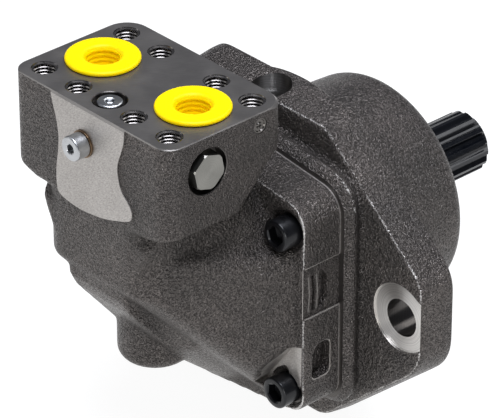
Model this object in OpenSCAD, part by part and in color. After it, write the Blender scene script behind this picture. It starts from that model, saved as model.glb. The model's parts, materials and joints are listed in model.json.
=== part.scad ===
/* [Mounting flange] */
// Thickness of the two-bolt flange
flange_t = 21; // [18:0.5:26]
// Distance between the two mounting bolts
bolt_spacing = 224; // [220:1:232]
// Diameter of the mounting bolt holes
bolt_d = 22; // [18:0.5:23]
// Diameter of the machined ring round each mounting hole
bolt_face_d = 41; // [36:1:42]
// Distance from a mounting hole's axis to the flange's end
ear_reach = 18; // [16:0.5:22]
// Overall height of the flange
flange_h = 190; // [186:1:196]
// Length of the flat at the top and at the bottom of the flange
flange_flat = 104; // [96:1:110]
// Height of the flat end of each ear
ear_flat = 54; // [48:1:58]
// Rounding of the ears' upper corners
ear_r = 22; // [18:1:24]
// Draft of the flange's edge, from its front face to its rear face
flange_draft = 3; // [1:0.5:4]
// Diameter of the locating spigot
spigot_d = 180; // [170:1:184]
// Height of the locating spigot above the mounting face
spigot_h = 12; // [6:0.5:16]
// Distance from the mounting face back to the axis of the hole in the flange's top
drain_hole_back = 12; // [11:0.5:13]
// Diameter of the hole in the flange's top
drain_hole_d = 23; // [20:0.5:24]
// Height of that hole's seat above the shaft
drain_seat_z = 73; // [71:0.5:76]

/* [Nose] */
// Length of the nose, from the mounting face
nose_len = 75; // [72:0.5:80]
// Diameter of the nose at its root
nose_root_d = 140; // [134:0.5:144]
// Diameter of the nose at its front end
nose_d = 132; // [124:0.5:136]
// Rounding of the nose's front edge
nose_round = 9; // [4:0.5:10]
// Bore between the two bearings
between_d = 76; // [74:0.5:77]

/* [Shaft] */
// Distance from the mounting face to the shaft's end
shaft_out = 142; // [134:0.5:150]
// Outside diameter of the spline
spline_d = 36.4; // [35:0.1:37]
// Root diameter of the spline
spline_root_d = 31.8; // [31:0.1:33]
// Number of spline teeth
spline_teeth = 16; // [14:1:18]
// Length of the spline
spline_len = 52; // [40:0.5:56]
// Diameter of the seal's running surface
seal_run_d = 40; // [38:0.5:41]
// Diameter of the rear bearing's journal
rear_journal_d = 50; // [48:1:52]
// Diameter of the front bearing's journal
front_journal_d = 42; // [42:0.5:44]
// Thickness of the drive flange
drive_t = 13; // [12:0.5:15]
// Rim of the drive flange outside the ball sockets
drive_rim = 4; // [3:0.5:5]
// Diameter of the shaft's shoulder, the spacer and the lock nut
shoulder_d = 58; // [56:0.5:60]
// Thickness of the lock nut
nut_t = 9; // [7:0.5:10]

/* [Bearings] */
// Outside diameter of the rear bearing
rear_bearing_d = 90; // [88:1:92]
// Width of the rear bearing
rear_bearing_w = 20; // [19:0.5:21]
// Outside diameter of the front bearing
front_bearing_d = 80; // [78:1:82]
// Width of the front bearing
front_bearing_w = 18; // [17:0.5:19]
// Number of rollers in each bearing
roller_count = 15; // [12:1:16]
// Angle between a roller's axis and the shaft
roller_angle = 14; // [12:1:15]
// Distance from the mounting face to the front bearing
front_bearing_y = 30; // [28:0.5:31]

/* [Seal] */
// Thickness of the seal carrier
carrier_t = 9; // [8.6:0.1:10]
// Outside diameter of the shaft seal
seal_d = 62; // [58:0.5:64]
// Thickness of the retaining ring
ring_t = 2.5; // [2:0.1:3]
// Section of the carrier's O-ring
carrier_ring_section = 2.1; // [1.8:0.05:2.4]
// Radius at which the O-ring between the housings lies
o_ring_r = 50; // [49:0.5:52]
// Section of the O-ring between the housings
o_ring_section = 2.6; // [2:0.1:3]

/* [Rotating group] */
// Angle between the shaft and the cylinder barrel
tilt = 40; // [39:0.5:40.5]
// Distance from the mounting face back to the point where the two axes cross
cross_back = 43; // [42:0.5:44]
// Number of pistons
piston_count = 7; // [5:1:7]
// Pitch radius of the ball sockets in the drive flange
ball_pitch_r = 29; // [28.5:0.1:29.5]
// Diameter of the pistons' ball ends
ball_d = 15; // [14:0.1:15]
// Diameter of the cylinder bores
bore_d = 17.5; // [17:0.1:18]
// Length of a piston, from the ball's centre to the head's centre
piston_len = 54.5; // [54:0.1:56]
// Length of a piston's head beyond its ring's middle
piston_crown = 1.6; // [1.4:0.1:2]
// Clearance between a piston at the end of its stroke and its bore's bottom
head_gap = 0.86; // [0.5:0.02:1.2]
// Thickness of the barrel behind the bores
barrel_floor = 4.5; // [4:0.1:5.5]
// Wall of the barrel outside the bores
barrel_wall = 4.6; // [4:0.1:5.5]
// Clearance between the barrel's front edge and the plate that holds the balls
barrel_gap = 1.6; // [1.2:0.1:2]
// Diameter of the centre pin's guide in the barrel
pin_d = 14; // [13:0.2:15]
// Distance from the crossing point to the guide's front end
pin_guide_at = 35; // [34:0.5:36]
// Length of the guide
pin_guide_len = 13; // [11:0.5:14]
// Diameter of the pin inside the disc springs
pin_tip_d = 6; // [5:0.1:6.1]
// Height of one disc spring as it is loaded
spring_h = 1.6; // [1.5:0.05:1.7]
// Number of pairs of disc springs
spring_pairs = 3; // [2:1:3]
// Thickness of the plate that holds the balls in the drive flange
retainer_t = 2.2; // [2:0.1:2.3]
// Thickness of the valve plate
valve_t = 5; // [4:0.1:5.5]

/* [Barrel housing] */
// Gap in the Y direction between the flange's rear face and the parting face
parting_gap = 12; // [11:0.5:14]
// Width of the bolted plate
plate_w = 156; // [152:1:160]
// Height of the bolted plate's top corners above the shaft
plate_top = 66; // [64:1:68]
// Depth of the bolted plate's bottom corners below the shaft
plate_bottom = 62; // [61:0.5:64]
// Extra height of the bolted plate in its middle
plate_crown = 9; // [6:0.5:10]
// Thickness of the bolted plate
plate_t = 27; // [25:0.5:30]
// Outside diameter of the inclined body near the plate
body_front_d = 128; // [124:1:130]
// Outside diameter of the inclined body at its rear end
body_rear_d = 92; // [91:0.5:96]
// Distance along the inclined axis at which the body starts to narrow
body_taper_at = 30; // [26:1:34]
// Width of the column under the port block
column_w = 90; // [86:1:94]
// Width of the keel under the inclined body
keel_w = 46; // [40:1:50]
// Diameter of the drain boss
boss_d = 42; // [40:1:46]
// Depth of the drain boss's lower face below the shaft
boss_bottom = 41; // [38:1:44]
// Distance from the mounting face back to the drain boss's axis
boss_back = 97; // [95:1:99]
// Diameter of the tapped hole in the drain boss
boss_port_d = 22; // [18:0.5:24]
// Depth of that tapped hole
boss_port_depth = 14; // [12:0.5:16]
// Diameter of the machined seat round that tapped hole
boss_face_d = 31; // [27:0.5:34]
// Width of the lower body where it meets the plate
loft_w = 144; // [138:1:148]
// Height of the lower body's shoulder above the shaft
loft_top = 46; // [42:0.5:50]
// Rounding of the column's corners
column_r = 19; // [14:0.5:24]
// How far the column stands in from the block's rear face
column_step = 2; // [1:0.5:3]
// Height of the column's foot above the shaft
column_foot_z = 25; // [22:0.5:28]
// Diameter of the spot-faced pockets round the screw heads
screw_pocket_d = 23; // [20:0.5:25]
// Height of the pocket in the plate's edge
edge_pocket_h = 31; // [28:0.5:34]
// Depth of that pocket
edge_pocket_t = 1.2; // [0.8:0.1:1.6]
// Depth of the windows in the plate's edge
window_t = 5; // [3:0.5:6]

/* [Port block] */
// Width of the port block
block_w = 126; // [120:1:132]
// Distance from the mounting face back to the block's front face
block_front = 57; // [56:0.5:59]
// Distance from the mounting face back to the block's rear face
block_back = 142; // [141:0.5:146]
// Height of the port face above the shaft
port_face_z = 126.6; // [122:0.2:132]
// Height of the block's lower edge above the shaft
block_low_z = 72; // [68:1:78]
// Rounding of the block's corners
block_r = 10; // [8:0.5:14]
// Width of the milled pad on the block's rear face
pad_w = 56; // [52:0.5:60]
// Height of the pad's foot above the shaft
pad_foot_z = 64; // [62:0.5:70]
// How far the pad stands out of the rear face
pad_step = 0.5; // [0.3:0.1:1]

/* [Ports] */
// Distance between the two port centres
port_spacing = 72; // [71:0.5:74]
// Distance from the mounting face back to the port centres
port_back = 100; // [99:0.5:101]
// Diameter of the port bores
port_bore_d = 25; // [24:0.5:27]
// Bolt spacing of each port across the block
port_bolt_x = 27.8; // [27:0.1:28.6]
// Bolt spacing of each port along the block
port_bolt_y = 57.2; // [56:0.1:58]
// Diameter of the tapped holes round the ports
port_thread_d = 12; // [10:0.5:12.5]
// Depth of the tapped holes round the ports
port_thread_depth = 22; // [18:1:25]
// Depth of the port bores
port_depth = 38; // [34:0.5:40]
// Diameter of the passages from the ports to the valve plate
passage_d = 10; // [8:0.5:12]
// Distance of the passages from the middle
passage_x = 28; // [26:0.5:30]
// Distance from the mounting face back to the passages
passage_back = 106; // [104:0.5:108]

/* [Plugs] */
// Sideways place of the rear plug
rear_plug_x = -3; // [-6:0.5:6]
// Height of the rear plug above the shaft
rear_plug_z = 105.5; // [102:0.5:108]
// Thread diameter of the rear plug and of the port face's plug
plug_thread_d = 10; // [8:0.5:12]
// Distance from the mounting face back to the port face's plug
face_plug_back = 126; // [124:0.5:127]
// Diameter of the recess round the port face's plug
face_recess_d = 18.5; // [16:0.5:19]
// Depth of that recess
face_recess_t = 3.5; // [3:0.1:4]
// Distance from the block's rear face to the side plug
side_plug_in = 28; // [26:0.5:30]
// Height of the side plug above the shaft
side_plug_z = 106; // [103:0.5:108]
// Width across the flats of the side plug
side_plug_af = 19; // [17:0.5:20]
// Diameter of the recess round the side plug
side_recess_d = 26.5; // [25:0.5:28]
// Depth of that recess
side_recess_t = 8; // [7:0.5:9]
// Distance from the block's front face to the expander plug
expander_in = 20.5; // [18:0.5:23]
// Distance of the expander plug below the port face
expander_down = 7.6; // [7:0.1:9]
// Diameter of the expander plug
expander_d = 9; // [8:0.5:10]
// Outside diameter of a port plug
port_plug_d = 41; // [38:0.5:42]
// Thickness of a port plug's disc
port_plug_t = 4.2; // [3.5:0.1:5]
// Depth of a port plug's skirt in the port
port_plug_skirt = 18; // [15:0.5:20]

/* [Screws] */
// Diameter of the screws that join the two housings
screw_d = 12; // [10:0.5:12.5]
// Distance of those screws from the middle, sideways
screw_x = 65; // [64:0.5:66]
// Distance of those screws from the middle, up and down
screw_z = 49.5; // [48:0.5:51]
// Depth to which those screws enter the bearing housing
screw_in = 17; // [14:0.5:20]
// How far the screws' seats lie below the plate's rear face
screw_seat = 3; // [1:0.5:5]

/* [Clearances] */
// Radial clearance of a running fit
run_gap = 0.06; // [0.02:0.01:0.09]
// Gap between faces that seat on each other
seat_gap = 0.05; // [0.02:0.01:0.1]
// Clearance of a screw in its through hole
screw_gap = 0.75; // [0.5:0.05:1]

/* [Hidden] */
$fn = 64;

cast_colour = "#4a4644";
steel_colour = "#b8b9bb";
zinc_colour = "#c9cdd0";
black_colour = "#1d1e21";
yellow_colour = "#ffe000";

// Fillet of corner p between its neighbours a and b, as n + 1 points on an arc of radius r
function corner(a, p, b, r, n) =
  let (u = (a - p) / norm(a - p), v = (b - p) / norm(b - p),
       half = acos(max(-1, min(1, u * v))) / 2,
       centre = p + (u + v) / norm(u + v) * r / sin(half),
       s = p + u * r / tan(half) - centre, e = p + v * r / tan(half) - centre,
       from = atan2(s[1], s[0]), turn = atan2(s[0] * e[1] - s[1] * e[0], s * e))
  [for (i = [0 : n]) centre + r * [cos(from + turn * i / n), sin(from + turn * i / n)]];
// Outline whose corners are rounded to the radii in rs
function rounded(pts, rs, n = 6) =
  let (last = len(pts) - 1)
  [for (i = [0 : last])
    each (rs[i] > 0 ? corner(pts[i == 0 ? last : i - 1], pts[i], pts[i == last ? 0 : i + 1], rs[i], n)
                    : [pts[i]])];

// Turns a shape drawn about Z so that its axis lies along Y, pointing to the shaft's end
module along_y(y = 0) { translate([0, y, 0]) rotate([-90, 0, 0]) children(); }
// Extrudes an outline in X and Z from y0 forward to y1
module slab_y(y0, y1) { translate([0, y1, 0]) rotate([90, 0, 0]) linear_extrude(y1 - y0) children(); }
// Extrudes an outline in Y and Z from x0 to x1
module slab_x(x0, x1) { translate([x0, 0, 0]) rotate([90, 0, 90]) linear_extrude(x1 - x0) children(); }
// Frame of the barrel: its Z axis runs back and up along the inclined axis, from the crossing point
module on_tilt() { translate([0, -cross_back, 0]) rotate([90 - tilt, 0, 0]) children(); }

cross_y = -cross_back;
rear_face_y = -flange_t;
parting_y = rear_face_y - parting_gap;
plate_rear_y = parting_y - plate_t;
seat_y = plate_rear_y + screw_seat;

// The balls' circle, seen along the barrel, is an ellipse; the bores lie on its mean circle
bore_pitch_r = ball_pitch_r * (1 + cos(tilt)) / 2;
ball_offset = ball_pitch_r * (1 - cos(tilt)) / 2;
piston_lean = asin(ball_offset / piston_len);
ball_r = ball_d / 2;
drive_r = ball_pitch_r + ball_r + drive_rim;
function piston_at(i) = 360 / piston_count * (i - 1) + 90;
barrel_d = 2 * (bore_pitch_r + bore_d / 2 + barrel_wall);
barrel_chamfer = 8;
barrel_front = (retainer_t + barrel_gap + (barrel_d / 2 - barrel_chamfer) * sin(tilt)) / cos(tilt);
bore_end = ball_pitch_r * sin(tilt) + piston_len * cos(piston_lean) + piston_crown + head_gap;
barrel_rear = bore_end + barrel_floor;
valve_end = barrel_rear + valve_t + 0.1;
spring_at = pin_guide_at + pin_guide_len + 0.35;
spring_pitch = 2 * spring_h + 0.6;
pin_tip = spring_at + spring_pairs * spring_pitch - 1.25;

// Places along the shaft, measured in Y from the mounting face
drive_front_y = cross_y + drive_t;
rear_bearing_y = drive_front_y + 2;
rear_bearing_end = rear_bearing_y + rear_bearing_w;
front_bearing_end = front_bearing_y + front_bearing_w;
nut_end = front_bearing_end + nut_t;
carrier_y = nut_end + 2;
carrier_end = carrier_y + carrier_t;
ring_end = carrier_end + ring_t;
seal_r = seal_d / 2;
flange_len = bolt_spacing + 2 * ear_reach;
drain_y = -drain_hole_back;
face_plug_y = -face_plug_back;
side_plug_y = -block_back + side_plug_in;
side_seat_x = block_w / 2 - side_recess_t;
expander_y = -block_front - expander_in;
expander_z = port_face_z - expander_down;
pocket_low_z = -1;
pocket_high_z = pocket_low_z + edge_pocket_h;

// Outline of the bolted plate in X and Z, grown by g
function plate_outline(g = 0) =
  let (x = plate_w / 2 + g, t = plate_top + g, b = plate_bottom + g, c = plate_crown)
  rounded([[x, -b], [x, t], [0, t + c], [-x, t], [-x, -b], [0, -b - c]],
          [12 + g, 15 + g, 60, 15 + g, 12 + g, 60]);
// Outline of the two-bolt flange in X and Z, shrunk by s
function flange_outline(s = 0) =
  let (x = flange_len / 2 - s, z = flange_h / 2 - s, e = ear_flat / 2, f = flange_flat / 2)
  rounded([[x, -e], [x, e], [f, z], [-f, z], [-x, e], [-x, -e], [-f, -z], [f, -z]],
          [ear_r + 8, ear_r, 18, 18, ear_r, ear_r + 8, 18, 18]);

// Tapped hole with its chamfer, mouth at z = 0, going down
module tapped(d, depth) {
  translate([0, 0, -depth]) cylinder(d = d, h = depth + 1);
  translate([0, 0, -0.25]) cylinder(d1 = d, d2 = d + 3, h = 1.5);
}
module at_screws() {
  for (x = [-screw_x, screw_x], z = [-screw_z, screw_z]) translate([x, 0, z]) children();
}
module at_port_bolts() {
  for (p = [-port_spacing / 2, port_spacing / 2], x = [-port_bolt_x / 2, port_bolt_x / 2],
       y = [-port_bolt_y / 2, port_bolt_y / 2])
    translate([p + x, y - port_back, port_face_z]) children();
}

// Bearing housing: flange, spigot and nose in one casting
module bearing_housing() color(cast_colour) difference() {
  union() {
    hull() {
      slab_y(-4, 0) polygon(flange_outline());
      slab_y(rear_face_y, rear_face_y + 1) polygon(flange_outline(flange_draft));
    }
    hull() {
      slab_y(parting_y, parting_y + 0.5) polygon(plate_outline(1.5));
      slab_y(parting_y + 2.5, parting_y + 7) polygon(plate_outline(5.5));
      slab_y(parting_y + 4, parting_y + 5.5) polygon(plate_outline(6.5));
      slab_y(parting_y + 8.5, parting_y + 9) polygon(plate_outline(3.5));
    }
    slab_y(parting_y + 8, rear_face_y + 1) polygon(plate_outline(3.5));
    along_y() rotate_extrude() polygon(concat([[0, -1]],
      rounded([[nose_root_d / 2, -1], [nose_d / 2, nose_len], [0, nose_len]], [0, nose_round, 0])));
    along_y() cylinder(d = spigot_d, h = spigot_h - 2);
    along_y(spigot_h - 2) cylinder(d1 = spigot_d, d2 = spigot_d - 3, h = 2);
  }
  along_y(parting_y - 1) cylinder(d = rear_bearing_d + 2 * seat_gap, h = rear_bearing_end - parting_y + 1);
  along_y(rear_bearing_end - 1) cylinder(d = between_d, h = front_bearing_y - rear_bearing_end + 2);
  along_y(front_bearing_y) cylinder(d = front_bearing_d + 2 * seat_gap, h = nose_len);
  along_y(carrier_end) cylinder(d = front_bearing_d + 5, h = ring_end - carrier_end + seat_gap);
  along_y(nose_len - 1.5) cylinder(d1 = front_bearing_d, d2 = front_bearing_d + 6, h = 2);
  along_y(parting_y) rotate_extrude() translate([o_ring_r - o_ring_section / 2 - 0.1, -1])
    square([o_ring_section + 0.2, o_ring_section * 0.8 + 1]);
  for (x = [-bolt_spacing / 2, bolt_spacing / 2]) {
    translate([x, 0, 0]) along_y(rear_face_y - 1) cylinder(d = bolt_d, h = flange_t + 2);
    translate([x, 0, 0]) along_y(rear_face_y - 1) cylinder(d = bolt_face_d, h = 2.2);
  }
  at_screws() along_y(parting_y - 1) cylinder(d = screw_d + 2 * seat_gap, h = screw_in + 3);
  translate([0, drain_y, drain_seat_z]) cylinder(d = drain_hole_d, h = flange_h / 2);
  translate([0, drain_y, drain_seat_z - 12]) cylinder(d = 12 + 2 * seat_gap, h = 20);
  translate([0, drain_y, between_d / 2 - 4]) cylinder(d = 6, h = drain_seat_z - between_d / 2);
}

// Side profile of the block: its lower edge climbs towards the front
module block_profile() {
  polygon([[-block_back, port_face_z], [-block_back, block_low_z - 6], [-block_back + 48, block_low_z - 2],
           [-block_back + 58, block_low_z + 8], [-block_front - 12, port_face_z - 30],
           [-block_front, port_face_z - 22], [-block_front, port_face_z]]);
}
// Plan of the block or of the column, w wide and reaching back to y = -back, its corners rounded to r
module block_plan(w, back, front, r) {
  x = w / 2;
  polygon(rounded([[-x, -back], [x, -back], [x, -front], [-x, -front]], [r, r, r, r]));
}
// Milled pad on the block's rear face: a waist below the port face, a wide foot that runs out to one side
module rear_pad() {
  rise = port_face_z - pad_foot_z;
  slab_y(-block_back, -block_back + 4) translate([0, pad_foot_z]) polygon([for (p =
    [[-0.52, 1], [-0.49, 0.88], [-0.45, 0.77], [-0.42, 0.61], [-0.43, 0.45], [-0.46, 0.29], [-0.46, 0.1], [-0.4, 0.03],
     [-0.18, 0], [0.02, 0.01], [0.22, 0.04], [0.4, 0.09], [0.57, 0.15], [0.62, 0.21], [0.6, 0.29], [0.48, 0.4],
     [0.43, 0.53], [0.43, 0.64], [0.48, 0.77], [0.52, 0.88], [0.53, 1]]) [p[0] * pad_w, p[1] * rise]]);
}
// Loft of the lower body, from the plate's full width back to the column
module body_loft() hull() {
  slab_y(plate_rear_y - 1, plate_rear_y + 2)
    polygon(rounded([[-loft_w / 2, -plate_bottom + 4], [loft_w / 2, -plate_bottom + 4], [loft_w / 2, loft_top],
                     [-loft_w / 2, loft_top]], [16, 16, 22, 22]));
  translate([0, 0, column_foot_z]) linear_extrude(loft_top - column_foot_z)
    block_plan(column_w, block_back - column_step, block_back - 3 * column_r, column_r);
}
// The casting of the barrel housing, before any machining
module barrel_casting() {
  slab_y(plate_rear_y, parting_y) polygon(plate_outline());
  intersection() {
    on_tilt() {
      translate([0, 0, -70]) cylinder(d = body_front_d, h = body_taper_at + 70);
      translate([0, 0, body_taper_at])
        cylinder(d1 = body_front_d, d2 = body_rear_d, h = barrel_rear - body_taper_at);
      translate([0, 0, barrel_rear]) cylinder(d = body_rear_d, h = 30);
    }
    translate([-block_w, -block_back + column_step + 1, -plate_bottom - 6])
      cube([2 * block_w, block_back + parting_y - column_step - 1, port_face_z + plate_bottom - 10]);
  }
  body_loft();
  translate([0, 0, column_foot_z + 10]) linear_extrude(block_low_z - column_foot_z + 20)
    block_plan(column_w, block_back - column_step, block_front + 2, column_r);
  intersection() {
    translate([0, 0, block_low_z - 12]) linear_extrude(port_face_z - block_low_z + 12)
      block_plan(block_w, block_back - pad_step, block_front, block_r);
    slab_x(-block_w, block_w) block_profile();
    slab_y(-block_back, 0)
      polygon([[-block_w / 2, port_face_z], [-block_w / 2, block_low_z], [-column_w / 2, block_low_z - 5],
               [column_w / 2, block_low_z - 5], [block_w / 2, block_low_z], [block_w / 2, port_face_z]]);
  }
  rear_pad();
  slab_x(-keel_w / 2, keel_w / 2)
    polygon([[-block_back + 4, 40], [-block_back + 4, 16], [-block_back + 8, 8], [-106, -26],
             [-boss_back, -34], [-boss_back + 20, -34], [-70, 20]]);
  translate([0, -boss_back, -boss_bottom + 4]) cylinder(d = boss_d, h = boss_bottom);
  translate([0, -boss_back, -boss_bottom]) cylinder(d1 = boss_d - 6, d2 = boss_d, h = 4);
}
// Cored pocket and two windows in the plate's edge, on the side where x is positive
module edge_pockets() {
  x = plate_w / 2;
  low = pocket_low_z + 3;
  high = pocket_high_z - 6;
  translate([x - edge_pocket_t, plate_rear_y - 1, pocket_low_z])
    cube([edge_pocket_t + 1, plate_t + 2, edge_pocket_h]);
  slab_x(x - window_t, x + 1) polygon([[plate_rear_y + 11, low], [plate_rear_y + 14, low - 1],
    [plate_rear_y + 18, low + 5], [plate_rear_y + 18, high - 4], [plate_rear_y + 14, high], [plate_rear_y + 11, high]]);
  slab_x(x - window_t + 2, x + 1) polygon([[plate_rear_y + 5, low], [plate_rear_y + 8, low],
    [plate_rear_y + 9, low + 10], [plate_rear_y + 8, high], [plate_rear_y + 5, high], [plate_rear_y + 6, low + 10]]);
  slab_x(x - window_t - 2, x + 1) polygon(rounded([[plate_rear_y + 7, pocket_low_z - 41],
    [plate_rear_y + 20, pocket_low_z - 41], [plate_rear_y + 20, pocket_low_z - 19], [plate_rear_y + 7, pocket_low_z - 19]],
    [3, 4, 4, 8]));
}
// Milled run-out in the plate's rear face, beside the lower screw where x is positive
module screw_runout() {
  x = plate_w / 2;
  slab_y(plate_rear_y - 24, plate_rear_y + 0.4)
    polygon([[screw_x - 16, -screw_z], [x - 8, -screw_z + 29], [x + 1, -screw_z + 31], [x + 1, -screw_z]]);
}

// Barrel housing: the casting with its cavity, passages, ports and tapped holes
passage_len = 40.6;
module barrel_housing() color(cast_colour) difference() {
  barrel_casting();
  along_y(cross_y - 8) cylinder(r = drive_r + 2, h = 30);
  on_tilt() translate([0, 0, -18]) cylinder(r = barrel_d / 2 + 1.5, h = valve_end + 18);
  on_tilt() translate([0, barrel_d / 2 - 4, valve_end - 1]) cylinder(d = 4 + 2 * seat_gap, h = 6);
  for (x = [-1, 1]) {
    translate([x * passage_x, -passage_back, port_face_z - port_depth + 4 - passage_len])
      cylinder(d = passage_d, h = passage_len);
    translate([x * port_spacing / 2, -port_back, port_face_z - port_depth])
      cylinder(d = port_bore_d, h = port_depth + 2);
  }
  at_port_bolts() tapped(port_thread_d, port_thread_depth);
  translate([0, face_plug_y, port_face_z - face_recess_t]) cylinder(d = face_recess_d, h = face_recess_t + 1);
  translate([0, face_plug_y, port_face_z - face_recess_t - 10.5])
    cylinder(d = plug_thread_d + 2 * seat_gap, h = 12);
  translate([rear_plug_x, 0, rear_plug_z]) along_y(-block_back - 1)
    cylinder(d = plug_thread_d + 2 * seat_gap, h = 13);
  translate([side_seat_x, side_plug_y, side_plug_z]) rotate([0, 90, 0])
    cylinder(d = side_recess_d, h = side_recess_t + 1);
  translate([side_seat_x - 6, side_plug_y, side_plug_z]) rotate([0, 90, 0])
    cylinder(d = 16 + 2 * seat_gap, h = 7);
  translate([block_w / 2 - 6, expander_y, expander_z]) rotate([0, 90, 0])
    cylinder(d = expander_d + 2 * seat_gap, h = 7);
  at_screws() {
    along_y(plate_rear_y - 1) cylinder(d = screw_d + 2 * screw_gap, h = plate_t + 2);
    along_y(plate_rear_y - 62) cylinder(d = screw_pocket_d, h = 62 + screw_seat);
  }
  edge_pockets();
  screw_runout();
  mirror([1, 0, 0]) edge_pockets();
  mirror([1, 0, 0]) screw_runout();
  translate([0, -boss_back, -boss_bottom - 30]) cylinder(d = boss_face_d, h = 30.3);
  translate([0, -boss_back, -boss_bottom - 1]) cylinder(d = boss_port_d, h = boss_port_depth + 1);
  translate([0, -boss_back, -boss_bottom - 1]) cylinder(d = 12, h = boss_bottom);
}

// Socket-head cap screw about Z: seat at z = 0, head below, shank above
module cap_screw(d, reach, head_d, head_h, key) {
  difference() {
    union() {
      translate([0, 0, -head_h]) cylinder(d = head_d, h = head_h);
      cylinder(d = d, h = reach - 1);
      translate([0, 0, reach - 1]) cylinder(d1 = d, d2 = d - 2, h = 1);
      translate([0, 0, -head_h]) cylinder(d1 = head_d - 1.5, d2 = head_d, h = 0.75);
    }
    translate([0, 0, -head_h - 1]) cylinder(d = key / cos(30), h = head_h * 0.5 + 1, $fn = 6);
    translate([0, 0, -head_h - 1]) difference() {
      cylinder(d = head_d + 2, h = 1.75);
      cylinder(d1 = head_d - 3, d2 = head_d + 0.5, h = 1.75);
    }
  }
}
module housing_screws() color(black_colour)
  at_screws() along_y(seat_y - seat_gap) cap_screw(screw_d, plate_t - screw_seat + screw_in, 18, 12, 10);

module housing_o_ring() color(black_colour)
  along_y(parting_y + o_ring_section * 0.4) rotate_extrude() translate([o_ring_r, 0])
    circle(d = o_ring_section * 0.78);

// Valve plate: two kidney slots, between the barrel and the housing's end
module kidney(r, w, sweep, h) {
  rotate([0, 0, -sweep / 2]) rotate_extrude(angle = sweep) translate([r - w / 2, 0]) square([w, h]);
  for (a = [-sweep / 2, sweep / 2]) rotate([0, 0, a]) translate([r, 0, 0]) cylinder(d = w, h = h);
}
module valve_plate() color(steel_colour) on_tilt() translate([0, 0, barrel_rear + 0.05]) difference() {
  cylinder(d = barrel_d, h = valve_t);
  for (a = [0, 180]) rotate([0, 0, a]) translate([0, 0, -1]) kidney(bore_pitch_r, 9, 110, valve_t + 2);
  translate([0, 0, -1]) cylinder(d = 12, h = valve_t + 2);
  translate([0, barrel_d / 2 - 4, 1.5]) cylinder(d = 4 + 2 * seat_gap, h = valve_t);
}
module valve_plate_pin() color(steel_colour)
  on_tilt() translate([0, barrel_d / 2 - 4, barrel_rear + 1.6]) cylinder(d = 4, h = valve_t + 3);

// Tapered roller bearing about Z, its rollers' large ends towards z = 0
// Point on a roller's axis, s along it from its middle, pushed out by n
function roller_point(d, w, bore, s, n) =
  [(d + bore) / 4 - s * sin(roller_angle) + n * cos(roller_angle), w / 2 + s * cos(roller_angle) + n * sin(roller_angle)];
function roller_r(d, bore, s) = (d - bore) / 4 * 0.47 - s * 0.035;
function roller_len(w) = w * 0.72;
module bearing_cup(d, w, bore) {
  h = roller_len(w) / 2 + 1;
  a = roller_point(d, w, bore, -h, roller_r(d, bore, -h) + run_gap);
  b = roller_point(d, w, bore, h, roller_r(d, bore, h) + run_gap);
  k = (b[0] - a[0]) / (b[1] - a[1]);
  rotate_extrude() polygon([[a[0] - k * (a[1] - 1.5), 1.5], [d / 2 - 1, 1.5], [d / 2, 2.5], [d / 2, w - 1],
                            [d / 2 - 1, w], [a[0] + k * (w - a[1]), w]]);
}
module bearing_cone(d, w, bore) {
  h = roller_len(w) / 2 + 0.4;
  a = roller_point(d, w, bore, -h, -roller_r(d, bore, -h) - run_gap);
  b = roller_point(d, w, bore, h, -roller_r(d, bore, h) - run_gap);
  rotate_extrude() polygon([[bore / 2, 0.8], [bore / 2 + 0.8, 0], [a[0] + 2.2, 0], a + [2.2, 0.55], a, b,
                            b + [1.2, 0.3], [b[0] + 1.2, w], [bore / 2 + 0.8, w], [bore / 2, w - 0.8]]);
}
module at_rollers(d, w, bore) {
  m = roller_point(d, w, bore, 0, 0);
  for (i = [1 : roller_count]) rotate([0, 0, i * 360 / roller_count])
    translate([m[0], 0, m[1]]) rotate([0, -roller_angle, 0]) children();
}
module bearing_rollers(d, w, bore) {
  h = roller_len(w) / 2;
  at_rollers(d, w, bore) translate([0, 0, -h])
    cylinder(r1 = roller_r(d, bore, -h), r2 = roller_r(d, bore, h), h = 2 * h);
}
module bearing_cage(d, w, bore) {
  h = roller_len(w) / 2 + 1.8;
  difference() {
    rotate_extrude() polygon([roller_point(d, w, bore, -h, -0.9), roller_point(d, w, bore, -h, 0.9),
                              roller_point(d, w, bore, h, 0.9), roller_point(d, w, bore, h, -0.9)]);
    at_rollers(d, w, bore) translate([0, 0, 0.2 - h])
      cylinder(r1 = roller_r(d, bore, -h) + 0.15, r2 = roller_r(d, bore, h) + 0.15, h = 2 * h - 0.4);
  }
}
module at_rear_bearing() { along_y(rear_bearing_y) children(); }
module at_front_bearing() { along_y(front_bearing_end) mirror([0, 0, 1]) children(); }
module rear_bearing_cup() color(steel_colour)
  at_rear_bearing() bearing_cup(rear_bearing_d, rear_bearing_w, rear_journal_d);
module rear_bearing_cone() color(steel_colour)
  at_rear_bearing() bearing_cone(rear_bearing_d, rear_bearing_w, rear_journal_d + 2 * seat_gap);
module rear_rollers() color(steel_colour)
  at_rear_bearing() bearing_rollers(rear_bearing_d, rear_bearing_w, rear_journal_d);
module rear_cage() color(steel_colour)
  at_rear_bearing() bearing_cage(rear_bearing_d, rear_bearing_w, rear_journal_d);
module front_bearing_cup() color(steel_colour)
  at_front_bearing() bearing_cup(front_bearing_d, front_bearing_w, front_journal_d);
module front_bearing_cone() color(steel_colour)
  at_front_bearing() bearing_cone(front_bearing_d, front_bearing_w, front_journal_d + 2 * seat_gap);
module front_rollers() color(steel_colour)
  at_front_bearing() bearing_rollers(front_bearing_d, front_bearing_w, front_journal_d);
module front_cage() color(steel_colour)
  at_front_bearing() bearing_cage(front_bearing_d, front_bearing_w, front_journal_d);

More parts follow.
